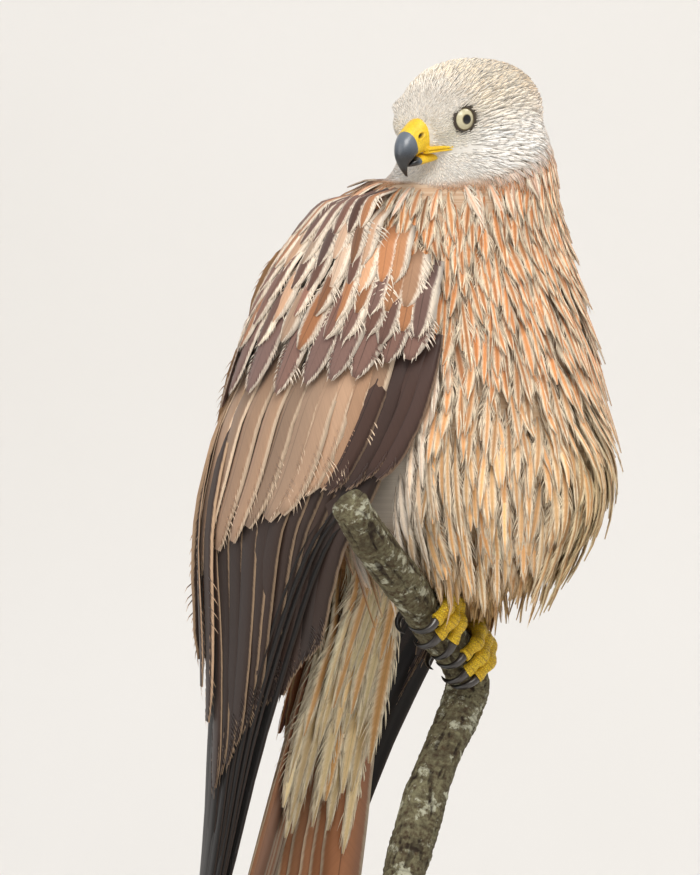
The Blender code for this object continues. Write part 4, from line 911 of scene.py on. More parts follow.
def dressHead():
    eyeForward, eyeLeft, eyeUpward = headCoat["eyePlace"]
    eyes = [fromHead(eyeForward, side * eyeLeft, eyeUpward) for side in (-1, 1)]

    def free(points):
        forward, left, upward = toHead(points)
        clear = np.ones(len(points), bool)
        for eye in eyes:
            clear &= np.linalg.norm(points - eye, axis=1) > headCoat["eyeClear"]
        fromMouth = np.abs(upward + 13.0 - (forward - 14) * 0.124)
        lips = (forward > headCoat["mouthFrom"]) & (fromMouth < headCoat["mouthHalf"])
        bill = forward > headCoat["billFrom"] + 3.5 * smoothStep(2, 9, upward)
        return clear & ~lips & ~bill & ((headShare(points) > 0.12) | (points[:, 2] > 588))

    def spacing(points):
        forward, _, _ = toHead(points)
        return headCoat["spacing"] + headCoat["spacingBehind"] * smoothStep(36, 2, forward)

    roots = scatter(free, spacing, headCoat["tries"], 21)
    draw = np.random.default_rng(22)
    count = len(roots)
    forward, left, upward = toHead(roots)
    length = headCoat["length"] + headCoat["lengthBehind"] * smoothStep(34, 6, forward)
    length = length + headCoat["lengthNape"] * smoothStep(0, -40, forward)
    nearEye = np.minimum(*[np.linalg.norm(roots - eye, axis=1) for eye in eyes])
    length = length * (0.45 + 0.55 * smoothStep(8, 20, nearEye)) * draw.uniform(0.8, 1.2, count)
    half = np.clip(length * 0.1, 0.36, 1.15) * draw.uniform(0.8, 1.2, count)
    lift = 0.6 + 1.5 * smoothStep(34, 4, forward) + 1.2 * smoothStep(-20, -50, forward)
    lift = lift * draw.uniform(0.8, 1.3, count)
    spines, facings = laySpines(roots, length, lift, np.ones(count), 5, 0.6, 0.09, 23)
    centre, edge, streak = coatAt(roots)
    colours = varied({"centre": centre, "edge": edge, "streak": streak}, draw, 0.07)
    hackles("head_feathers", spines, facings, half, colours, headUnwrap(roots), draw)
    print("head feathers", count, round(time.time() - started, 1))


def hackles(name, spines, facings, half, colours, unwrap, draw):
    # Small pointed feathers of one strip each, whose middle ridge carries the dark shaft.
    perPiece = 7000
    count, stations = spines.shape[:2]
    if count > perPiece:
        for number, first in enumerate(range(0, count, perPiece)):
            part = slice(first, first + perPiece)
            hackles(f"{name}_{number + 1}", spines[part], facings[part], half[part],
                    {key: value[part] for key, value in colours.items()}, unwrap[part], draw)
        return
    share = np.linspace(0, 1, stations)
    taper = np.interp(share, (0, 0.45, 0.8, 1), (0.7, 1.0, 0.7, 0.06))
    points = blades(spines, facings, half[:, None] * taper, 0.5)
    quads, triangles = bladeFaces(count, stations, 0)
    made = meshObject(name, points.reshape(-1, 3), quads, triangles, plumages["headHackle"])
    owner = np.repeat(np.arange(count), stations * 3)
    along = np.tile(np.repeat(share, 3), count)
    rim = np.tile(np.array([1.0, 0.0, 1.0]), count * stations)
    addValues(made, rim=rim, along=along, barb=along * 8, strand=draw.uniform(0, 1, count)[owner],
              streak=colours["streak"][owner], centre=colours["centre"][owner], edge=colours["edge"][owner])
    side = np.tile(np.array([-1.0, 0.0, 1.0]), count * stations)
    layUnwrap(made, np.clip(unwrap[owner] + np.stack([side * 0.0015, (along - 0.5) * 0.003], -1), 0, 1))
    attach(made, "root")


dressBody()
dressHead()

# Wing tiers, deepest first: first and last feather's root and tip as place across the wing and height
vaneOutline = ((0, 0.35), (0.12, 0.7), (0.45, 1.0), (0.86, 0.86), (0.95, 0.62), (1, 0.22))
roundOutline = ((0, 0.6), (0.3, 0.9), (0.7, 1.0), (0.9, 0.8), (0.97, 0.5), (1, 0.2))
pointOutline = ((0, 0.7), (0.4, 1.0), (0.75, 0.9), (0.92, 0.5), (1, 0.12))
longLook = {"rows": 26, "strands": 14, "vane": 0.97, "reach": 1.02, "looseFrom": 0.86, "loose": 6.0,
            "clump": 4,
            "fray": 0.3, "raise": 0.03, "camber": 0.16, "thick": 0.7, "notch": 0.06, "twist": 0.03,
            "width": 0.5,
            "outline": vaneOutline, "plumage": "wingVane", "patch": 0.02}
coverLook = dict(longLook, rows=14, vane=0.92, reach=1.06, looseFrom=0.62, loose=6.0, fray=0.5, notch=0.12,
                 twist=0.06,
                 width=0.42, outline=roundOutline, plumage="coverVane", patch=0.012)
smallLook = dict(coverLook, rows=9, strands=12, looseFrom=0.4, fray=0.8, twist=0.09, outline=pointOutline,
                 plumage="lesserVane")
wingTiers = (
    {"name": "primaries", "count": 10, "root": ((0.08, 412), (0.44, 412)), "tip": ((0.30, 168), (0.80, 76)),
     "half": 11,
     "lift": (-9.0, -2.4), "slope": 0.0, "deep": -10.0, "facing": (-0.86, 0.5, 0.1),
     "centre": "#16110f", "edge": "#3a2d25", "look": longLook},
    {"name": "secondaries", "count": 12, "root": ((0.08, 462), (0.66, 462)),
     "tip": ((-0.06, 318), (0.44, 240)),
     "half": 12, "lift": (-3.4, -1.0), "slope": 0.16, "deep": -7.0, "centre": "#33241d",
     "edge": "#a98e72", "look": longLook},
    {"name": "tertials", "count": 5, "root": ((0.66, 515), (0.93, 525)), "tip": ((0.52, 276), (0.86, 346)),
     "half": 15,
     "lift": (1.8, 4.6), "slope": 0.1, "deep": -6.0, "centre": "#3b2a22", "edge": "#c9a888",
     "look": coverLook},
    {"name": "alula", "count": 4, "root": ((-0.04, 505), (0.12, 506)), "tip": ((-0.02, 424), (0.15, 414)),
     "half": 10,
     "lift": (-0.8, 0.9), "slope": 0.15, "deep": -6.0, "centre": "#3f2b24", "edge": "#9c8068",
     "look": dict(longLook, rows=14, outline=roundOutline)},
    {"name": "greater_coverts", "count": 12, "root": ((0.15, 508), (0.72, 510)),
     "tip": ((0.14, 424), (0.74, 350)),
     "half": 12.0, "lift": (-0.2, 1.4), "slope": 0.15, "deep": -6.0, "centre": "#a5866d",
     "edge": "#e2c9ad", "look": coverLook},
    {"name": "median_coverts", "count": 10, "root": ((0.03, 548), (0.78, 546)),
     "tip": ((0.04, 488), (0.78, 458)),
     "half": 11.5, "lift": (2.8, 3.8), "slope": 0.1, "deep": -5.0, "centre": "#7b5d53", "edge": "#eadbc9",
     "look": dict(coverLook, outline=pointOutline)},
)


def tierSpines(side, tier, stations, draw, count=None):
    count = count or tier["count"]
    share = np.linspace(0, 1, count)
    root = mix(np.array(tier["root"][0], float), np.array(tier["root"][1], float), share)
    tip = mix(np.array(tier["tip"][0], float), np.array(tier["tip"][1], float), share)
    tip[:, 1] += draw.uniform(-4, 4, count)
    tip[:, 0] += draw.uniform(-0.01, 0.01, count)
    s = np.linspace(0, 1, stations)
    place = root[:, None] + (tip - root)[:, None] * s[None, :, None]
    points, normals = wingSurface(side, place[..., 0], place[..., 1])
    if "facing" in tier:
        given = np.array(tier["facing"]) * ((1, 1, 1) if side == "right" else (-1, 1, 1))
        normals = np.broadcast_to(unit(given), normals.shape)
    lift = tier["lift"][0] + (tier["lift"][1] - tier["lift"][0]) * share
    raised = tier["deep"] + (lift[:, None] - tier["deep"]) * smoothStep(0.0, 0.42, s)[None]
    spines = points + normals * raised[..., None]
    along = unit(np.gradient(spines, axis=1))
    across = unit(np.cross(along, normals))
    tilted = normals + across * tier["slope"] * (1 if side == "right" else -1)
    return spines, unit(tilted), root


def wingUnwrap(root):
    return np.stack([0.03 + 0.94 * np.clip(root[:, 0], 0, 1), 0.03 + 0.94 * (root[:, 1] - 60) / 560], -1)


def tint(count, centre, edge, draw, amount=0.12, streak=0.7):
    plain = {"centre": np.broadcast_to(toLinear(centre), (count, 3)),
             "edge": np.broadcast_to(toLinear(edge), (count, 3)),
             "streak": np.full(count, streak)}
    return varied(plain, draw, amount)


def smallWingFeathers(side, draw):
    # Lesser and marginal coverts, five rows down from the shoulder, and the scapulars over the wing's root
    rows = ((590, 560, 9, 8.5, 0.34), (580, 544, 10, 10.0, 0.26), (568, 530, 11, 11.0, 0.16),
            (556, 515, 12, 11.5, 0.06),
            (544, 502, 12, 12.0, 0.01))
    spines, facings, roots, halves, centres, edges = [], [], [], [], [], []
    for number, (top, low, count, half, first) in enumerate(rows):
        shift = 0.35 * (number % 2) / count
        tier = {"root": ((first + shift, top), (0.74 + shift, top - 2)),
                "tip": ((first + shift, low), (0.77 + shift, low - 8)),
                "lift": (6.6 - 0.5 * number, 7.0 - 0.5 * number), "slope": 0.08, "deep": -3.0}
        spine, facing, root = tierSpines(side, tier, 7, draw, count)
        spines.append(spine)
        facings.append(facing)
        roots.append(root)
        halves.append(np.full(count, half * 0.82) * draw.uniform(0.85, 1.15, count))
        kinds = np.array([toLinear(code) for code in ("#a5704a", "#7a574a", "#c79f80", "#6a4a3e")])
        centres.append(kinds[draw.integers(0, 4, count)])
        edges.append(np.broadcast_to(toLinear("#eedfcb"), (count, 3)))
    for number, (top, low, count) in enumerate(((590, 540, 4), (574, 506, 5), (556, 470, 5), (536, 430, 5))):
        tier = {"root": ((0.76, top), (1.02, top - 4)), "tip": ((0.80, low), (1.03, low - 10)),
                "lift": (8.2 - 0.6 * number, 10.0 - 0.6 * number), "slope": 0.06, "deep": -4.0}
        spine, facing, root = tierSpines(side, tier, 7, draw, count)
        spines.append(spine)
        facings.append(facing)
        roots.append(root)
        halves.append(np.full(count, 12.0 + number) * draw.uniform(0.9, 1.1, count))
        centres.append(np.broadcast_to(toLinear("#46312a"), (count, 3)))
        edges.append(np.broadcast_to(toLinear("#a8835f"), (count, 3)))
    count = sum(len(h) for h in halves)
    colours = varied({"centre": np.concatenate(centres), "edge": np.concatenate(edges),
                      "streak": np.full(count, 0.6)},
                     draw, 0.16)
    feathers(f"small_coverts_{side}", np.concatenate(spines), np.concatenate(facings), np.concatenate(halves),
             smallLook, colours, wingUnwrap(np.concatenate(roots)), slot="pale_plumage")


def dressWing(side):
    draw = np.random.default_rng(31 if side == "right" else 37)
    for tier in wingTiers:
        spines, facings, root = tierSpines(side, tier, 12, draw)
        count = tier["count"]
        colours = tint(count, tier["centre"], tier["edge"], draw)
        half = np.full(count, float(tier["half"])) * draw.uniform(0.95, 1.06, count)
        feathers(f"{tier['name']}_{side}", spines, facings, half, tier["look"], colours,
                 wingUnwrap(root), replaced=(f"wing_{side}",) if tier["name"] == "secondaries" else (),
                 slot="brown_plumage")
    smallWingFeathers(side, draw)
    print(side, "wing dressed", round(time.time() - started, 1))


dressWing("right")
dressWing("left")



def tailPoint(across, along):
    lean = math.radians(tailLook["lean"])
    down = np.array([0, math.sin(lean), -math.cos(lean)])
    back = np.array([0, math.cos(lean), math.sin(lean)])
    share = along / tailLook["outerLength"]
    half = tailLook["halfRoot"] + (tailLook["halfTips"] - tailLook["halfRoot"]) * share
    bend = tailLook["arch"] * across ** 2 * (0.35 + 0.65 * share)
    sideways = np.stack([half * across, np.zeros_like(half), np.zeros_like(half)], -1)
    return np.array(tailLook["root"]) + down * along[..., None] - back * bend[..., None] + sideways


def tailSurface(across, along):
    across, along = np.broadcast_arrays(np.asarray(across, float), np.asarray(along, float))
    a = tailPoint(across + 0.01, along) - tailPoint(across - 0.01, along)
    b = tailPoint(across, along + 2) - tailPoint(across, along - 2)
    normal = unit(np.cross(a, b))
    return tailPoint(across, along), np.where(normal[..., 1:2] > 0, normal, -normal)


def underTail(across, along):
    point, normal = tailSurface(across, along)
    drop = 21.0 - 6.0 * smoothStep(0, 110, along)
    return point - np.stack([np.zeros_like(drop), drop, np.zeros_like(drop)], -1), -normal


def vanesOn(surface, starts, ends, lifts, deep, stations):
    # Centre lines on a surface between two places each, with the root sunk by deep.
    starts, ends = np.asarray(starts, float), np.asarray(ends, float)
    s = np.linspace(0, 1, stations)
    place = starts[:, None] + (ends - starts)[:, None] * s[None, :, None]
    points, normals = surface(place[..., 0], place[..., 1])
    lifts = np.asarray(lifts, float)
    raised = deep[:, None] + (lifts - deep)[:, None] * smoothStep(0.0, 0.42, s)[None]
    return points + normals * raised[..., None], normals


def tailUnwrap(places, top=0.0):
    places = np.asarray(places, float)
    return np.stack([0.05 + 0.9 * (places[:, 0] + 1) / 2, 0.05 + 0.4 * (places[:, 1] + 40) / 120 + top], -1)


def dressTail():
    draw = np.random.default_rng(41)
    starts, ends, levels, halves = [], [], [], []
    for side in (-1, 1):
        for i in range(tailLook["pairs"]):
            share = i / (tailLook["pairs"] - 1)
            length = tailLook["middleLength"] + (tailLook["outerLength"]
                                                 - tailLook["middleLength"]) * share ** 1.5
            starts.append((side * (0.12 + 0.66 * share), 20))
            ends.append((side * (0.12 + 0.76 * share), length + draw.uniform(-2, 2)))
            levels.append(-2.0 * i - (1.0 if side > 0 else 0.0))
            halves.append(16.5 - 2.5 * share)
    levels = np.array(levels)
    spines, normals = vanesOn(tailSurface, starts, ends, levels, levels, 14)
    colours = tint(len(levels), "#a87450", "#e3cdae", draw, 0.14, 0.7)
    feathers("tail_feathers", spines, normals, np.array(halves),
             dict(longLook, rows=30, plumage="tailVane"), colours,
             tailUnwrap(starts), replaced=("tail",), slot="tail_plumage")
    starts, ends, lifts, halves = [], [], [], []
    for start, end, lift, count in ((-10, 52, 6.0, 4), (-2, 74, 4.6, 5), (14, 104, 2.6, 6)):
        for i in range(count):
            across = -0.78 + 1.56 * (i + 0.5) / count
            starts.append((across, start))
            ends.append((across * 0.92, end * draw.uniform(0.92, 1.08)))
            lifts.append(lift)
            halves.append(10.5)
    spines, normals = vanesOn(tailSurface, starts, ends, lifts, np.full(len(lifts), -4.0), 9)
    feathers("tail_coverts", spines, normals, np.array(halves), dict(coverLook, outline=pointOutline),
             tint(len(lifts), "#9a5f38", "#d2ab7c", draw), tailUnwrap(starts, 0.4), slot="tail_plumage")
    starts, ends, lifts, halves = [], [], [], []
    for start, end, lift, count in ((-30, 60, 8.0, 6), (-14, 84, 7.0, 7), (0, 112, 5.0, 7),
                                    (16, 146, 3.0, 7), (30, 168, 1.0, 6)):
        for i in range(count):
            across = -0.9 + 1.8 * (i + 0.5) / count + draw.uniform(-0.06, 0.06)
            starts.append((across, start + draw.uniform(-4, 4)))
            ends.append((across * 0.95 + draw.uniform(-0.08, 0.08), end * draw.uniform(0.88, 1.1)))
            lifts.append(lift * draw.uniform(0.8, 1.5))
            halves.append(8.5 * draw.uniform(0.8, 1.2))
    spines, normals = vanesOn(underTail, starts, ends, lifts, np.full(len(lifts), -5.0), 9)
    colours = tint(len(lifts), "#d9c08e", "#efe2c4", draw, 0.14, 0.25)
    orange = (draw.uniform(0, 1, len(lifts)) < 0.3)[:, None]
    colours["centre"] = np.where(orange, toLinear("#c9985c"), colours["centre"])
    feathers("undertail_coverts", spines, normals, np.array(halves),
             dict(bodyLook, rows=10, strands=16, vane=0.7, loose=16.0, width=0.4), colours,
             tailUnwrap(starts, 0.2),
             slot="tail_plumage")
    print("tail dressed", round(time.time() - started, 1))


dressTail()


def ringTube(centre, normal, upward, radius, thickness, squash, count=72, around=14):
    # Rings of a closed hoop, given as points for a torus
    side = unit(np.cross(upward, normal))
    top = np.cross(normal, side)
    turn = np.linspace(0, 2 * np.pi, count, endpoint=False)[:, None, None]
    small = np.linspace(0, 2 * np.pi, around, endpoint=False)[None, :, None]
    outward = side * np.cos(turn) + top * np.sin(turn) * squash
    return centre + outward * radius + (outward * np.cos(small) + normal * np.sin(small)) * thickness


def torusObject(name, rings, material):
    count, around = rings.shape[:2]
    i, j = np.meshgrid(np.arange(count), np.arange(around), indexing="ij")
    k, m = (i + 1) % count, (j + 1) % around
    quads = np.stack([i * around + j, i * around + m, k * around + m, k * around + j], -1).reshape(-1, 4)
    made = meshObject(name, rings.reshape(-1, 3), quads, None, material)
    settleNormals(made)
    return made


# Eye: pale iris round a black pupil, set in dark bare skin under a brow ridge
eyeLook = {"place": (20.5, 17.8, 4.8), "radius": 8.2, "pupil": 2.6, "iris": 6.0, "lidRadius": 7.0,
           "lidThickness": 0.9,
           "lidForward": 5.0, "irisColour": "#d9d3b4", "irisDeep": "#a79c76", "pupilRing": "#6d6246",
           "pupilColour": "#050404",
           "ringColour": "#2a2018", "lidRim": "#77693b"}


def eyeMaterial():
    # A wet cornea over the iris: a clear coat with sharp highlights
    made, tree, shader = newMaterial("corneaOverIris", {"Roughness": 0.35, "Coat Weight": 1.0,
                                                        "Coat Roughness": 0.03,
                                                        "Coat IOR": 1.38, "IOR": 1.38})
    away, turn = (addNode(tree, "Attribute", {"attribute_name": name}, output="Fac")
                  for name in ("away", "turn"))
    place = addNode(tree, "CombineXYZ", {}, {"X": away, "Y": turn})
    # Fibres of the iris are about 0.1 mm apart; drawn 0.4 mm apart
    fibres = addNode(tree, "Mapping", {}, {"Vector": place, "Scale": (0.5, 16, 1)})
    grain = addNode(tree, "TexNoise", {}, {"Vector": fibres, "Scale": 1.0, "Detail": 4.0})
    iris = addNode(tree, "Mix", twoColours, {0: grain, 6: rgba(eyeLook["irisDeep"]),
                                                        7: rgba(eyeLook["irisColour"])})
    ramp = addNode(tree, "MapRange", softly, {"Value": away, "From Min": eyeLook["pupil"] + 0.8,
                                              "From Max": eyeLook["pupil"] + 0.1})
    iris = addNode(tree, "Mix", twoColours, {0: ramp, 6: iris, 7: rgba(eyeLook["pupilRing"])})
    pupil = addNode(tree, "MapRange", softly, {"Value": away, "From Min": eyeLook["pupil"] + 0.15,
                                               "From Max": eyeLook["pupil"] - 0.1})
    colour = addNode(tree, "Mix", twoColours, {0: pupil, 6: iris, 7: rgba(eyeLook["pupilColour"])})
    outer = addNode(tree, "MapRange", softly, {"Value": away, "From Min": eyeLook["iris"] - 0.4,
                                               "From Max": eyeLook["iris"] + 0.2})
    colour = addNode(tree, "Mix", twoColours, {0: outer, 6: colour, 7: rgba(eyeLook["ringColour"])})
    tree.links.new(colour, shader.inputs["Base Color"])
    return made


def lidMaterial():
    # Bare lid: black-brown skin with fine wrinkles, olive yellow where it meets the globe
    made, tree, shader = newMaterial("bareLid", {"Roughness": 0.45, "Specular IOR Level": 0.5})
    rim = addNode(tree, "Attribute", {"attribute_name": "rim"}, output="Fac")
    place = addNode(tree, "TexCoord", {}, output="Object")
    # Wrinkles 0.5 mm apart
    grain = addNode(tree, "TexNoise", {}, {"Vector": place, "Scale": 2000.0, "Detail": 3.0})
    dark = addNode(tree, "Mix", twoColours, {0: grain, 6: rgba("#17110d"), 7: rgba("#4a3c31")})
    colour = addNode(tree, "Mix", twoColours, {0: rim, 6: dark, 7: rgba(eyeLook["lidRim"])})
    joinSurface(tree, shader, colour, grain, 0.5, 0.0002)
    return made


def buildEyes():
    globeMaterial, skinMaterial = eyeMaterial(), lidMaterial()
    for side, name in ((1, "left"), (-1, "right")):
        f, l, u = eyeLook["place"]
        centre = fromHead(f, side * l, u)
        gaze = unit(headLeft * side * 0.93 + headForward * 0.35)
        upward = unit(headUp - gaze * (headUp @ gaze))
        across = np.cross(gaze, upward)
        rings = ellipsoidRings(centre, (gaze, upward, across), (eyeLook["radius"],) * 3, 90, 96)
        globe = tubeObject(f"eyeball_{name}", rings, globeMaterial)
        away = pointsOf(globe) - centre
        flat = away - (away @ gaze)[:, None] * gaze
        far = np.linalg.norm(flat, axis=1) + np.where(away @ gaze < 0, 20, 0)
        addValues(globe, away=far, turn=np.arctan2(flat @ upward, flat @ across))
        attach(globe, "root")
        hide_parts(f"eye_{name}")
        rim = centre + gaze * eyeLook["lidForward"]
        hoop = ringTube(rim, gaze, upward, eyeLook["lidRadius"], eyeLook["lidThickness"], 0.92)
        lid = torusObject(f"eyelid_{name}", hoop, skinMaterial)
        inner = np.linalg.norm(pointsOf(lid) - rim, axis=1)
        addValues(lid, rim=smoothStep(6.6, 6.1, inner) * 0.7)
        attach(lid, "root")


buildEyes()

# Bill sections: upper point and lower point in the head's middle plane, and half width
cereSections = ((33, 10, 33, -10.6, 10.4), (40, 8.4, 38.5, -10.6, 9.0), (46, 6.4, 44.5, -10.8, 8.0),
                (51.2, 4.2, 49, -11.4, 7.2))
hornSections = ((49.6, 4.9, 47.4, -11.2, 6.9), (51.8, 3.7, 49.5, -11.5, 7.0), (56.2, 0.2, 52.0, -12.8, 6.1),
                (59.2, -5.0, 54.6, -14.4, 4.7), (59.9, -10.0, 55.6, -16.0, 3.2),
                (58.4, -15.5, 55.3, -18.6, 1.9),
                (55.6, -20.6, 54.4, -21.4, 0.6))
lowerSections = ((31, -10.6, 31, -17.0, 9.6), (38, -10.4, 38, -17.2, 8.6), (45, -11.0, 44.5, -17.0, 6.6),
                 (50.5, -12.6, 49.5, -16.6, 4.4), (53.0, -14.8, 52.4, -16.2, 1.6))
lipRows = ((43, 8.4, -9.4, 3.0), (36, 12.2, -10.0, 2.8), (27, 16.9, -11.2, 2.4), (20, 20.6, -12.2, 1.9),
           (14, 23.2, -13.0, 1.3))
# Slanting slit in the cere: its middle forward and up, half length and half height
nostril = {"place": (45.4, 0.4), "half": (2.5, 1.35), "slope": 0.3, "depth": 2.0}


def billRings(sections, rings, sides=48):
    table = [(i, *row) for i, row in enumerate(sections)]
    topF, topU, lowF, lowU, half = np.moveaxis(rowAt(table, np.linspace(0, len(sections) - 1, rings)), -1,
                                               0)[..., None]
    angle = np.linspace(0, 2 * np.pi, sides, endpoint=False)[None]
    rise, across = np.cos(angle), np.sin(angle)
    share = (np.where(rise < 0, -np.abs(rise) ** 0.6, rise) + 1) / 2
    return fromHead(lowF + (topF - lowF) * share, across * half, lowU + (topU - lowU) * share)


def lipRings(side, below):
    table = [(i, *row) for i, row in enumerate(lipRows)]
    found = rowAt(table, np.linspace(0, 3.2 if below else 4, 40))
    forward, left, upward, height = np.moveaxis(found, -1, 0)[..., None]
    angle = np.linspace(0, 2 * np.pi, 24, endpoint=False)[None]
    height = height * (0.6 if below else 0.85)
    shift = 0.3 - height / 2 if below else height / 2
    left = left - (1.2 if below else 0.8)
    return fromHead(forward + 0 * angle, side * (left + 2.6 * np.cos(angle)),
                    upward + shift + height / 2 * np.sin(angle))


def cereMaterial():
    # Waxy bare skin: bright yellow, faintly see-through, with pores and fine creases
    made, tree, shader = newMaterial("waxyCere", {"Roughness": 0.42, "Specular IOR Level": 0.5,
                                                  "Subsurface Weight": 0.12,
                                                  "Subsurface Radius": (0.8, 0.4, 0.1),
                                                  "Subsurface Scale": 0.001})
    place = addNode(tree, "TexCoord", {}, output="Object")
    # Pores 0.7 mm apart and blotches 5 mm across
    fine = addNode(tree, "TexNoise", {}, {"Vector": place, "Scale": 1400.0, "Detail": 3.0})
    broad = addNode(tree, "TexNoise", {}, {"Vector": place, "Scale": 200.0, "Detail": 2.0})
    colour = addNode(tree, "Mix", twoColours, {0: broad, 6: rgba("#d9a812"), 7: rgba("#f3d232")})
    low = addNode(tree, "MapRange", {}, {"Value": fine, "From Min": 0.35, "From Max": 0.6, "To Min": 0.82,
                                         "To Max": 1.05})
    shade = addNode(tree, "CombineColor", {}, {0: low, 1: low, 2: low})
    colour = addNode(tree, "Mix", colourProduct, {0: 1.0, 6: colour, 7: shade})
    # Near black in the nostril's pit: painted shade
    pit = addNode(tree, "Attribute", {"attribute_name": "pit"}, output="Fac")
    colour = addNode(tree, "Mix", twoColours, {0: pit, 6: colour, 7: rgba("#2a1d0c")})
    joinSurface(tree, shader, colour, fine, 0.35, 0.0003)
    return made


def hornMaterial(name, dark, pale):
    # Keratin sheath: polished by use, slate where it is thick and black at the tip, with growth lines
    # along it
    made, tree, shader = newMaterial(name, {"Roughness": 0.3, "Specular IOR Level": 0.5, "IOR": 1.55,
                                            "Coat Weight": 0.25,
                                            "Coat Roughness": 0.2})
    toTip = addNode(tree, "Attribute", {"attribute_name": "toTip"}, output="Fac")
    place = addNode(tree, "TexCoord", {}, output="Object")
    # Growth lines 0.8 mm apart
    grain = addNode(tree, "TexNoise", {}, {"Vector": place, "Scale": 1200.0, "Detail": 4.0,
                                           "Distortion": 0.6})
    ramp = addNode(tree, "Math", {"operation": "MULTIPLY_ADD"}, {0: grain, 1: 0.25, 2: toTip})
    ramp = addNode(tree, "MapRange", softly, {"Value": ramp, "From Min": 0.12, "From Max": 0.85})
    colour = addNode(tree, "Mix", twoColours, {0: ramp, 6: rgba(pale), 7: rgba(dark)})
    joinSurface(tree, shader, colour, grain, 0.2, 0.0002)
    return made


def buildBill():
    waxy = cereMaterial()
    horn = hornMaterial("billHorn", "#0e0d0e", "#626a74")
    pieces = [tubeObject("cerePart", billRings(cereSections, 40))]
    pieces += [tubeObject("lipPart", lipRings(side, False)) for side in (-1, 1)]
    cere = fused("cere_skin", pieces, 0.4, 6, waxy)
    points = pointsOf(cere)
    forward, left, upward = toHead(points)
    place, height = nostril["place"]
    halfLength, halfHeight = nostril["half"]
    slope = upward - height + (forward - place - 0.2) * nostril["slope"]
    inside = np.sqrt(((forward - place) / halfLength) ** 2 + (slope / halfHeight) ** 2)
    # pit: the nostril's hollow, pressed in below and painted near black as shade in the material
    pit = smoothStep(1.15, 0.55, inside) * (np.abs(left) > 4)
    points = points - (np.sign(left) * pit * nostril["depth"])[:, None] * headLeft
    swell = np.exp(-((inside - 1.35) / 0.35) ** 2) * (np.abs(left) > 4) * 0.3
    points = points + (np.sign(left) * swell)[:, None] * headLeft
    cere.data.vertices.foreach_set("co", ((points + [0, birdY, 0]) * mm).astype(np.float32).ravel())
    cere.data.update()
    addValues(cere, pit=pit)
    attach(cere, "root")
    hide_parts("cere")
    lower = fused("bill_below", [tubeObject("lowPart", billRings(lowerSections, 40))]
                  + [tubeObject("lipPart", lipRings(side, True)) for side in (-1, 1)], 0.4, 6)
    forward, left, upward = toHead(pointsOf(lower))
    addValues(lower, toTip=smoothStep(44, 53, forward), pit=np.zeros(len(forward)))
    lower.data.materials.append(waxy)
    lower.data.materials.append(horn)
    middles = np.zeros(len(lower.data.polygons) * 3, np.float32)
    lower.data.polygons.foreach_get("center", middles)
    forward = toHead(middles.reshape(-1, 3).astype(float) / mm - [0, birdY, 0])[0]
    lower.data.polygons.foreach_set("material_index", (forward > 46.0).astype(np.int32))
    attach(lower, "root")
    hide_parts("bill_lower")
    upper = tubeObject("bill_horn", billRings(hornSections, 70), horn)
    forward, left, upward = toHead(pointsOf(upper))
    addValues(upper, toTip=smoothStep(2, -19, upward) * 0.9 + 0.1 * smoothStep(50, 58, forward))
    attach(upper, "root")
    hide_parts("bill_upper")


buildBill()
print("head parts made", round(time.time() - started, 1))

# Feet: toes as root and end step along the branch in mm, first and last angle round it
toeTable = ((-3.0, -13.0, 18, 118), (0.0, 0.0, 20, 132), (3.0, 13.0, 18, 118), (0.0, 3.0, -14, -78))
toeLook = {"radius": 4.3, "clawRadius": 2.5, "clawLength": 19.0, "scute": 2.1, "groove": 0.35}


def pipeRings(path, radii, around, dents=None):
    # Rings round a path, with an optional dent by place along it and way round it
    path = np.asarray(path, float)
    along = unit(np.gradient(path, axis=0))
    side = unit(np.cross(along[0], (0.31, 0.22, 0.92)))
    rings = []
    turn = np.linspace(0, 2 * np.pi, around, endpoint=False)[:, None]
    for i, point in enumerate(path):
        side = unit(side - along[i] * (side @ along[i]))
        other = np.cross(along[i], side)
        outward = side * np.cos(turn) + other * np.sin(turn)
        reach = radii[i] if dents is None else radii[i] + dents(i, outward)
        rings.append(point + outward * np.reshape(reach, (-1, 1)))
    return np.array(rings)


def toePaths(side, count):
    place, step = feetPlaces[side]["grip"], 1 / 30.0
    for rootStep, endStep, first, last in toeTable:
        share = np.linspace(0, 1, count)
        radius = toeLook["radius"] * (1.12 - 0.30 * share) + 0.45 * np.cos(6 * np.pi * share)
        angle = first * 0.3 + (last - first * 0.3) * share
        toe = gripPoint(place + (rootStep + (endStep - rootStep) * share) * step, angle, radius * 0.92 + 0.7)
        turned = last + math.copysign(1, last) * (1 + (6 + toeLook["clawLength"] * 2.6) * share)
        reach = 2.9 + 5.2 * np.sin(np.pi * (0.12 + 0.80 * share))
        claw = gripPoint(place + endStep * (1.06 + 0.3 * share) * step, turned, reach)
        thick = toeLook["clawRadius"] * 1.05 * (1 - share) ** 0.75 + 0.12
        yield toe, radius, claw, thick


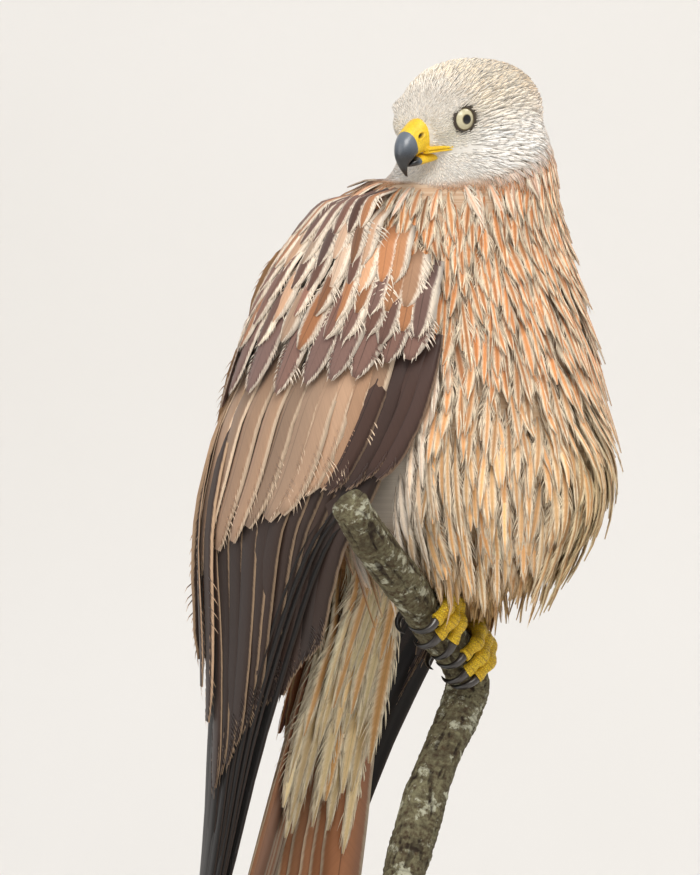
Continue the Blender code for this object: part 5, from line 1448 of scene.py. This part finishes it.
def footMaterial():
    # Horny scutes: yellow plates with painted shade, dark brown, in the grooves between them
    made, tree, shader = newMaterial("scaledYellowSkin", {"Roughness": 0.48, "Specular IOR Level": 0.5})
    groove = addNode(tree, "Attribute", {"attribute_name": "groove"}, output="Fac")
    place = addNode(tree, "TexCoord", {}, output="Object")
    # Granules 1.1 mm across between the plates
    cells = addNode(tree, "TexVoronoi", {"feature": "DISTANCE_TO_EDGE"}, {"Vector": place, "Scale": 900.0})
    edges = addNode(tree, "MapRange", {}, {"Value": cells, "From Min": 0.02, "From Max": 0.16})
    broad = addNode(tree, "TexNoise", {}, {"Vector": place, "Scale": 160.0, "Detail": 3.0})
    colour = addNode(tree, "Mix", twoColours, {0: broad, 6: rgba("#dcae14"), 7: rgba("#f6d92e")})
    colour = addNode(tree, "Mix", twoColours, {0: edges, 6: rgba("#b98d12"), 7: colour})
    # Painted shade, dark brown, in the grooves between the plates
    colour = addNode(tree, "Mix", twoColours, {0: groove, 6: colour, 7: rgba("#5b3f12")})
    joinSurface(tree, shader, colour, edges, 0.6, 0.0005)
    return made


def buildFeet():
    scaled = footMaterial()
    clawHorn = hornMaterial("clawHorn", "#0c0a09", "#3a332e")
    for side in ("right", "left"):
        ankle, hip = legLine(side)
        upward = unit(hip - ankle)
        knots = np.array([ankle + upward * 24, ankle + upward * 9, ankle,
                          gripPoint(np.array(feetPlaces[side]["grip"]), np.array(6.0), np.array(4.6))])
        table = [(i, *point, radius) for i, (point, radius) in enumerate(zip(knots, (4.6, 4.8, 6.0, 5.4)))]
        found = rowAt(table, np.linspace(0, 3, 60))
        pieces, marks, grooves = [], [], []

        def addPart(path, radii, count):
            length = np.concatenate([[0], np.cumsum(np.linalg.norm(np.diff(path, axis=0), axis=1))])

            def dents(i, outward):
                # Plates lie across the front and top; the sole is granular
                away = path[i] - branchFrame(np.array(feetPlaces[side]["grip"]))[0]
                top = np.clip(outward @ unit(away), 0, 1) ** 0.5
                wave = 0.5 + 0.5 * np.cos(2 * np.pi * length[i] / toeLook["scute"])
                groove = wave ** 6 * top
                grooves.append(groove)
                return -toeLook["groove"] * groove

            rings = pipeRings(path, radii, count, dents)
            marks.append(rings.reshape(-1, 3))
            pieces.append(tubeObject("toePart", rings))

        addPart(found[:, :3], found[:, 3], 28)
        for number, (toe, radius, claw, thick) in enumerate(toePaths(side, 64)):
            addPart(toe, radius, 28)
            rings = pipeRings(claw[::2], thick[::2], 20)
            made = tubeObject(f"talon_{side}_{number + 1}", rings, clawHorn)
            share = np.concatenate([np.repeat(np.linspace(0, 1, len(rings)), 20), [0, 1]])
            addValues(made, toTip=share)
            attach(made, "root")
            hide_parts(f"claw_{side}_{number + 1}")
        foot = fused(f"scaled_foot_{side}", pieces, 0.5, 2, scaled)
        marks, grooves = np.concatenate(marks), np.concatenate([np.ravel(g) for g in grooves])
        nearest = nearestOf(marks, pointsOf(foot))
        # Painted shade in the grooves, at half strength
        addValues(foot, groove=grooves[nearest] * 0.5)
        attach(foot, "root")
        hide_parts(f"foot_{side}")


def nearestOf(places, points):
    tree = KDTree(len(places))
    for i, place in enumerate(places):
        tree.insert(place, i)
    tree.balance()
    return np.array([tree.find(point)[1] for point in points])


buildFeet()
print("feet made", round(time.time() - started, 1))

perchLook = {"rings": 300, "around": 120, "ridge": 0.5, "crack": 0.7}


def barkMaterial():
    # Dry bark: grey-brown, rough, cross-wrinkled, with pale grey-green crusts of lichen, and painted shade,
    # near black, in its cracks and wrinkle troughs
    made, tree, shader = newMaterial("dryBark", {"Roughness": 0.88, "Specular IOR Level": 0.2})
    place = addNode(tree, "TexCoord", {}, output="Object")
    deep = addNode(tree, "Attribute", {"attribute_name": "deep"}, output="Fac")
    # Flakes 3 mm across, blotches 25 mm, lichen 12 mm
    fine = addNode(tree, "TexNoise", {}, {"Vector": place, "Scale": 330.0, "Detail": 6.0, "Roughness": 0.65})
    broad = addNode(tree, "TexNoise", {}, {"Vector": place, "Scale": 40.0, "Detail": 4.0})
    crust = addNode(tree, "TexNoise", {}, {"Vector": place, "Scale": 85.0, "Detail": 5.0, "Roughness": 0.7})
    colour = addNode(tree, "Mix", twoColours, {0: broad, 6: rgba("#57503a"), 7: rgba("#8d8a6c")})
    sharp = addNode(tree, "MapRange", {}, {"Value": fine, "From Min": 0.35, "From Max": 0.65})
    colour = addNode(tree, "Mix", twoColours, {0: sharp, 6: rgba("#453829"), 7: colour})
    spot = addNode(tree, "MapRange", softly, {"Value": crust, "From Min": 0.54, "From Max": 0.62})
    colour = addNode(tree, "Mix", twoColours, {0: spot, 6: colour, 7: rgba("#a9a893")})
    # Painted shade: near black where deep marks a crack or a wrinkle's trough
    colour = addNode(tree, "Mix", twoColours, {0: deep, 6: colour, 7: rgba("#2a2119")})
    joinSurface(tree, shader, colour, fine, 0.8, 0.0012)
    return made


def noiseAt(points, scale, stretch=(1, 1, 1), octaves=3):
    scaled = np.asarray(points) / scale * stretch
    return np.array([noise.fractal(Vector(p), 1.0, 2.0, octaves)
                     for p in scaled.reshape(-1, 3)]).reshape(scaled.shape[:-1])


def buildPerch():
    rings, around = perchLook["rings"], perchLook["around"]
    place = np.linspace(0, len(branchRows) - 1, rings)
    centre, radius, along, front, up = branchFrame(place)
    last = smoothStep(rings - 30, rings - 1, np.arange(rings))
    front = unit(mix(front, np.broadcast_to([0, -1.0, 0], front.shape), last))
    up = unit(mix(up, np.broadcast_to([-1.0, 0, 0], up.shape), last))
    angle = np.linspace(0, 2 * np.pi, around, endpoint=False)
    knots = (0.035 * np.sin(3 * angle[None] + 1.7 * place[:, None]) + 0.03
             * np.sin(2 * angle[None] - 2.3 * place[:, None]))
    length = place * 30.0
    flat = np.stack([np.cos(angle)[None] * radius[:, None] + 0 * length[:, None],
                     np.sin(angle)[None] * radius[:, None] + 0 * length[:, None],
                     length[:, None] + 0 * angle[None]], -1)
    wrinkle = noiseAt(flat, 6.0, (0.5, 0.5, 2.6))
    broad = noiseAt(flat, 22.0)
    crack = smoothStep(0.25, 0.5, noiseAt(flat + 400, 5.0, (1.2, 1.2, 0.35)))
    reach = (radius[:, None] * (1 + knots) + perchLook["ridge"] * wrinkle + 0.9 * broad - perchLook["crack"]
             * crack - 0.3)
    points = centre[:, None] + (front[:, None] * np.cos(angle)[None, :, None] + up[:, None]
                                * np.sin(angle)[None, :, None]) * reach[..., None]
    made = tubeObject("bark_perch", points, barkMaterial())
    # deep is painted shade: strongest in the cracks, weaker in the troughs of the wrinkles
    deep = np.concatenate([np.clip(crack * 0.7 + smoothStep(0.1, -0.4, wrinkle) * 0.4, 0, 1).ravel(), [0, 0]])
    addValues(made, deep=deep)
    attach(made, "root")
    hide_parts("perch")


buildPerch()

standLook = {"radius": 150.0, "height": 18.0, "rodRadius": 6.0, "rodFoot": 20.0, "rodFootHeight": 6.0}


def lathe(name, profile, centre, around, material):
    profile = np.asarray(profile, float)
    turn = np.linspace(0, 2 * np.pi, around, endpoint=False)
    rings = np.stack([profile[:, :1] * np.cos(turn) + centre[0], profile[:, :1] * np.sin(turn) + centre[1],
                      profile[:, 1:] + 0 * turn], -1)
    made = tubeObject(name, rings, material)
    made.data.set_sharp_from_angle(angle=math.radians(50))
    return made


def woodMaterial():
    # Oiled walnut, turned: dark brown with growth rings 3 mm apart and short pores
    made, tree, shader = newMaterial("oiledWalnut", {"Roughness": 0.42, "Specular IOR Level": 0.5,
                                                     "Coat Weight": 0.1})
    place = addNode(tree, "TexCoord", {}, output="Object")
    stretched = addNode(tree, "Mapping", {}, {"Vector": place, "Scale": (6.0, 60.0, 60.0)})
    rings = addNode(tree, "TexNoise", {}, {"Vector": stretched, "Scale": 4.0, "Detail": 5.0,
                                           "Distortion": 0.4})
    pores = addNode(tree, "Mapping", {}, {"Vector": place, "Scale": (120.0, 1400.0, 1400.0)})
    pores = addNode(tree, "TexNoise", {}, {"Vector": pores, "Scale": 1.0, "Detail": 2.0})
    colour = addNode(tree, "Mix", twoColours, {0: rings, 6: rgba("#2f2018"), 7: rgba("#6b4a33")})
    dark = addNode(tree, "MapRange", {}, {"Value": pores, "From Min": 0.3, "From Max": 0.42})
    colour = addNode(tree, "Mix", twoColours, {0: dark, 6: rgba("#1d130e"), 7: colour})
    joinSurface(tree, shader, colour, pores, 0.15, 0.0002)
    return made


def steelMaterial():
    # Brushed steel: fine rings round the rod
    made, tree, shader = newMaterial("brushedSteel", {"Metallic": 1.0, "Roughness": 0.32})
    place = addNode(tree, "TexCoord", {}, output="Object")
    stretched = addNode(tree, "Mapping", {}, {"Vector": place, "Scale": (40.0, 40.0, 2500.0)})
    grain = addNode(tree, "TexNoise", {}, {"Vector": stretched, "Scale": 1.0, "Detail": 3.0})
    colour = addNode(tree, "Mix", twoColours, {0: grain, 6: rgba("#8c8c8e"), 7: rgba("#bcbcbd")})
    joinSurface(tree, shader, colour, grain, 0.1, 0.0001)
    return made


def buildStand():
    radius, height = standLook["radius"], standLook["height"]
    profile = [(0.5, 0), (radius - 1.5, 0), (radius, 1.5)]
    profile += [(radius - 3 + 3 * math.cos(a), height - 3 + 3 * math.sin(a))
                for a in np.linspace(0, np.pi / 2, 8)]
    profile += [(0.5, height)]
    base = lathe("turned_base", profile, (0, -birdY), 180, woodMaterial())
    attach(base, "root")
    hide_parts("stand_base")
    x, y, _, _ = branchRows[-1]
    top, low, rod = branchRows[-1][2] - 0.35, height + 0.35, standLook["rodRadius"]
    foot, footTop = standLook["rodFoot"], height + 0.35 + standLook["rodFootHeight"]
    profile = [(0.3, low), (foot - 0.6, low), (foot, low + 0.6), (foot, footTop - 1.5),
               (foot - 0.5, footTop - 0.4),
               (foot - 1.5, footTop)]
    profile += [(rod + 3 - 3 * math.sin(a), footTop + 3 - 3 * math.cos(a))
                for a in np.linspace(0, np.pi / 2, 8)]
    profile += [(rod, top - 0.6), (rod - 0.6, top), (0.3, top)]
    made = lathe("steel_rod", profile, (x, y), 64, steelMaterial())
    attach(made, "root")
    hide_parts("stand_rod")


buildStand()
print("perch and stand made", round(time.time() - started, 1))


def finishSkin():
    skin.data.materials.append(plumages["bodyPlumage"])
    centre, edge, _ = coatAt(skinPoints)
    count = len(skinPoints)
    forward, left, upward = skinLook["barePlace"]
    inner, outer = skinLook["bareRadii"]
    for side in (-1, 1):
        away = np.linalg.norm(skinPoints - fromHead(forward, side * left, upward), axis=1)
        centre = mix(centre, toLinear(skinLook["bareColour"]), smoothStep(outer, inner, away))
        edge = mix(edge, toLinear(skinLook["bareColour"]), smoothStep(outer, inner, away))
    # The skin between the feathers takes the coat's colours at three quarters: painted shade in the gaps
    # under the feathers
    addValues(skin, rim=np.full(count, 0.5), along=np.full(count, 0.3), strand=np.full(count, 0.3),
              streak=np.zeros(count), centre=centre * 0.75, edge=edge * 0.75, barb=skinPoints[:, 2])
    onHead = headShare(skinPoints)[:, None]
    layUnwrap(skin, bodyUnwrap(skinPoints) * (1 - onHead) + headUnwrap(skinPoints) * onHead)
    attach(skin, "root")
    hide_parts("head", "neck", "torso", "thigh_right", "thigh_left")


finishSkin()

# Studio, in metres: paper sweep, camera, and each light's place from the target, width and power in watts
studio = {"paperDark": "#e6e4e0", "paperPale": "#eceae7", "before": -4.0, "behind": 1.6, "side": 2.2,
          "sweep": 0.5,
          "height": 2.4, "azimuth": -45.0, "distance": 6.0, "target": (-0.0244, 0.0244, 0.445), "lens": 425.6,
          "lights": {"keyLight": ((-1.1, -1.5, 1.9), 1.5, 56.0), "fillLight": ((-2.3, 0.3, 0.7), 1.8, 14.0),
                     "backLight": ((1.2, -0.4, 2.0), 1.2, 24.0)},
          "lightColour": (1.0, 0.965, 0.92), "air": (0.96, 0.97, 1.0, 1.0), "airStrength": 0.5}


def buildStudio():
    # Plain floor swept up into a backdrop behind the bird
    away = np.array([0.7071, 0.7071, 0.0])
    right = np.array([0.7071, -0.7071, 0.0])
    radius = studio["sweep"]
    profile = [(studio["before"], 0.0), (studio["behind"], 0.0)]
    profile += [(studio["behind"] + radius * math.sin(a), radius - radius * math.cos(a))
                for a in np.linspace(0.1, np.pi / 2, 14)]
    profile += [(studio["behind"] + radius, studio["height"])]
    points = [(away * d + right * s + np.array([0, 0, z])) / mm - np.array([0, birdY, 0])
              for d, z in profile for s in (-studio["side"], studio["side"])]
    quads = [(2 * i, 2 * i + 1, 2 * i + 3, 2 * i + 2) for i in range(len(profile) - 1)]
    floorMaterial, tree, shader = newMaterial("mattPaper", {"Roughness": 0.85})
    place = addNode(tree, "TexCoord", {}, output="Object")
    grain = addNode(tree, "TexNoise", {}, {"Vector": place, "Scale": 3.0, "Detail": 2.0})
    colour = addNode(tree, "Mix", twoColours, {0: grain, 6: rgba(studio["paperDark"]),
                                               7: rgba(studio["paperPale"])})
    tree.links.new(colour, shader.inputs["Base Color"])
    meshObject("studio_floor", points, quads, None, floorMaterial)
    target = Vector(studio["target"])
    for name, (way, size, power) in studio["lights"].items():
        light = bpy.data.lights.new(name, "AREA")
        light.energy, light.size, light.color = power, size, studio["lightColour"]
        lamp = bpy.data.objects.new(name, light)
        lamp.location = target + Vector(way)
        lamp.rotation_euler = (target - lamp.location).to_track_quat("-Z", "Y").to_euler()
        bpy.context.scene.collection.objects.link(lamp)
    world = bpy.data.worlds.new("studioAir")
    world.use_nodes = True
    world.node_tree.nodes["Background"].inputs["Color"].default_value = studio["air"]
    world.node_tree.nodes["Background"].inputs["Strength"].default_value = studio["airStrength"]
    bpy.context.scene.world = world
    bpy.context.scene.view_settings.view_transform = "Standard"
    camera = bpy.data.cameras.new("camera")
    camera.lens, camera.sensor_width, camera.clip_end = studio["lens"], 36.0, 50.0
    viewer = bpy.data.objects.new("camera", camera)
    turned = math.radians(studio["azimuth"])
    viewer.location = target + Vector((math.sin(turned), -math.cos(turned), 0)) * studio["distance"]
    viewer.rotation_euler = (target - viewer.location).to_track_quat("-Z", "Y").to_euler()
    bpy.context.scene.collection.objects.link(viewer)
    bpy.context.scene.camera = viewer


buildStudio()
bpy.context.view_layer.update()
print("all pieces made", round(time.time() - started, 1))
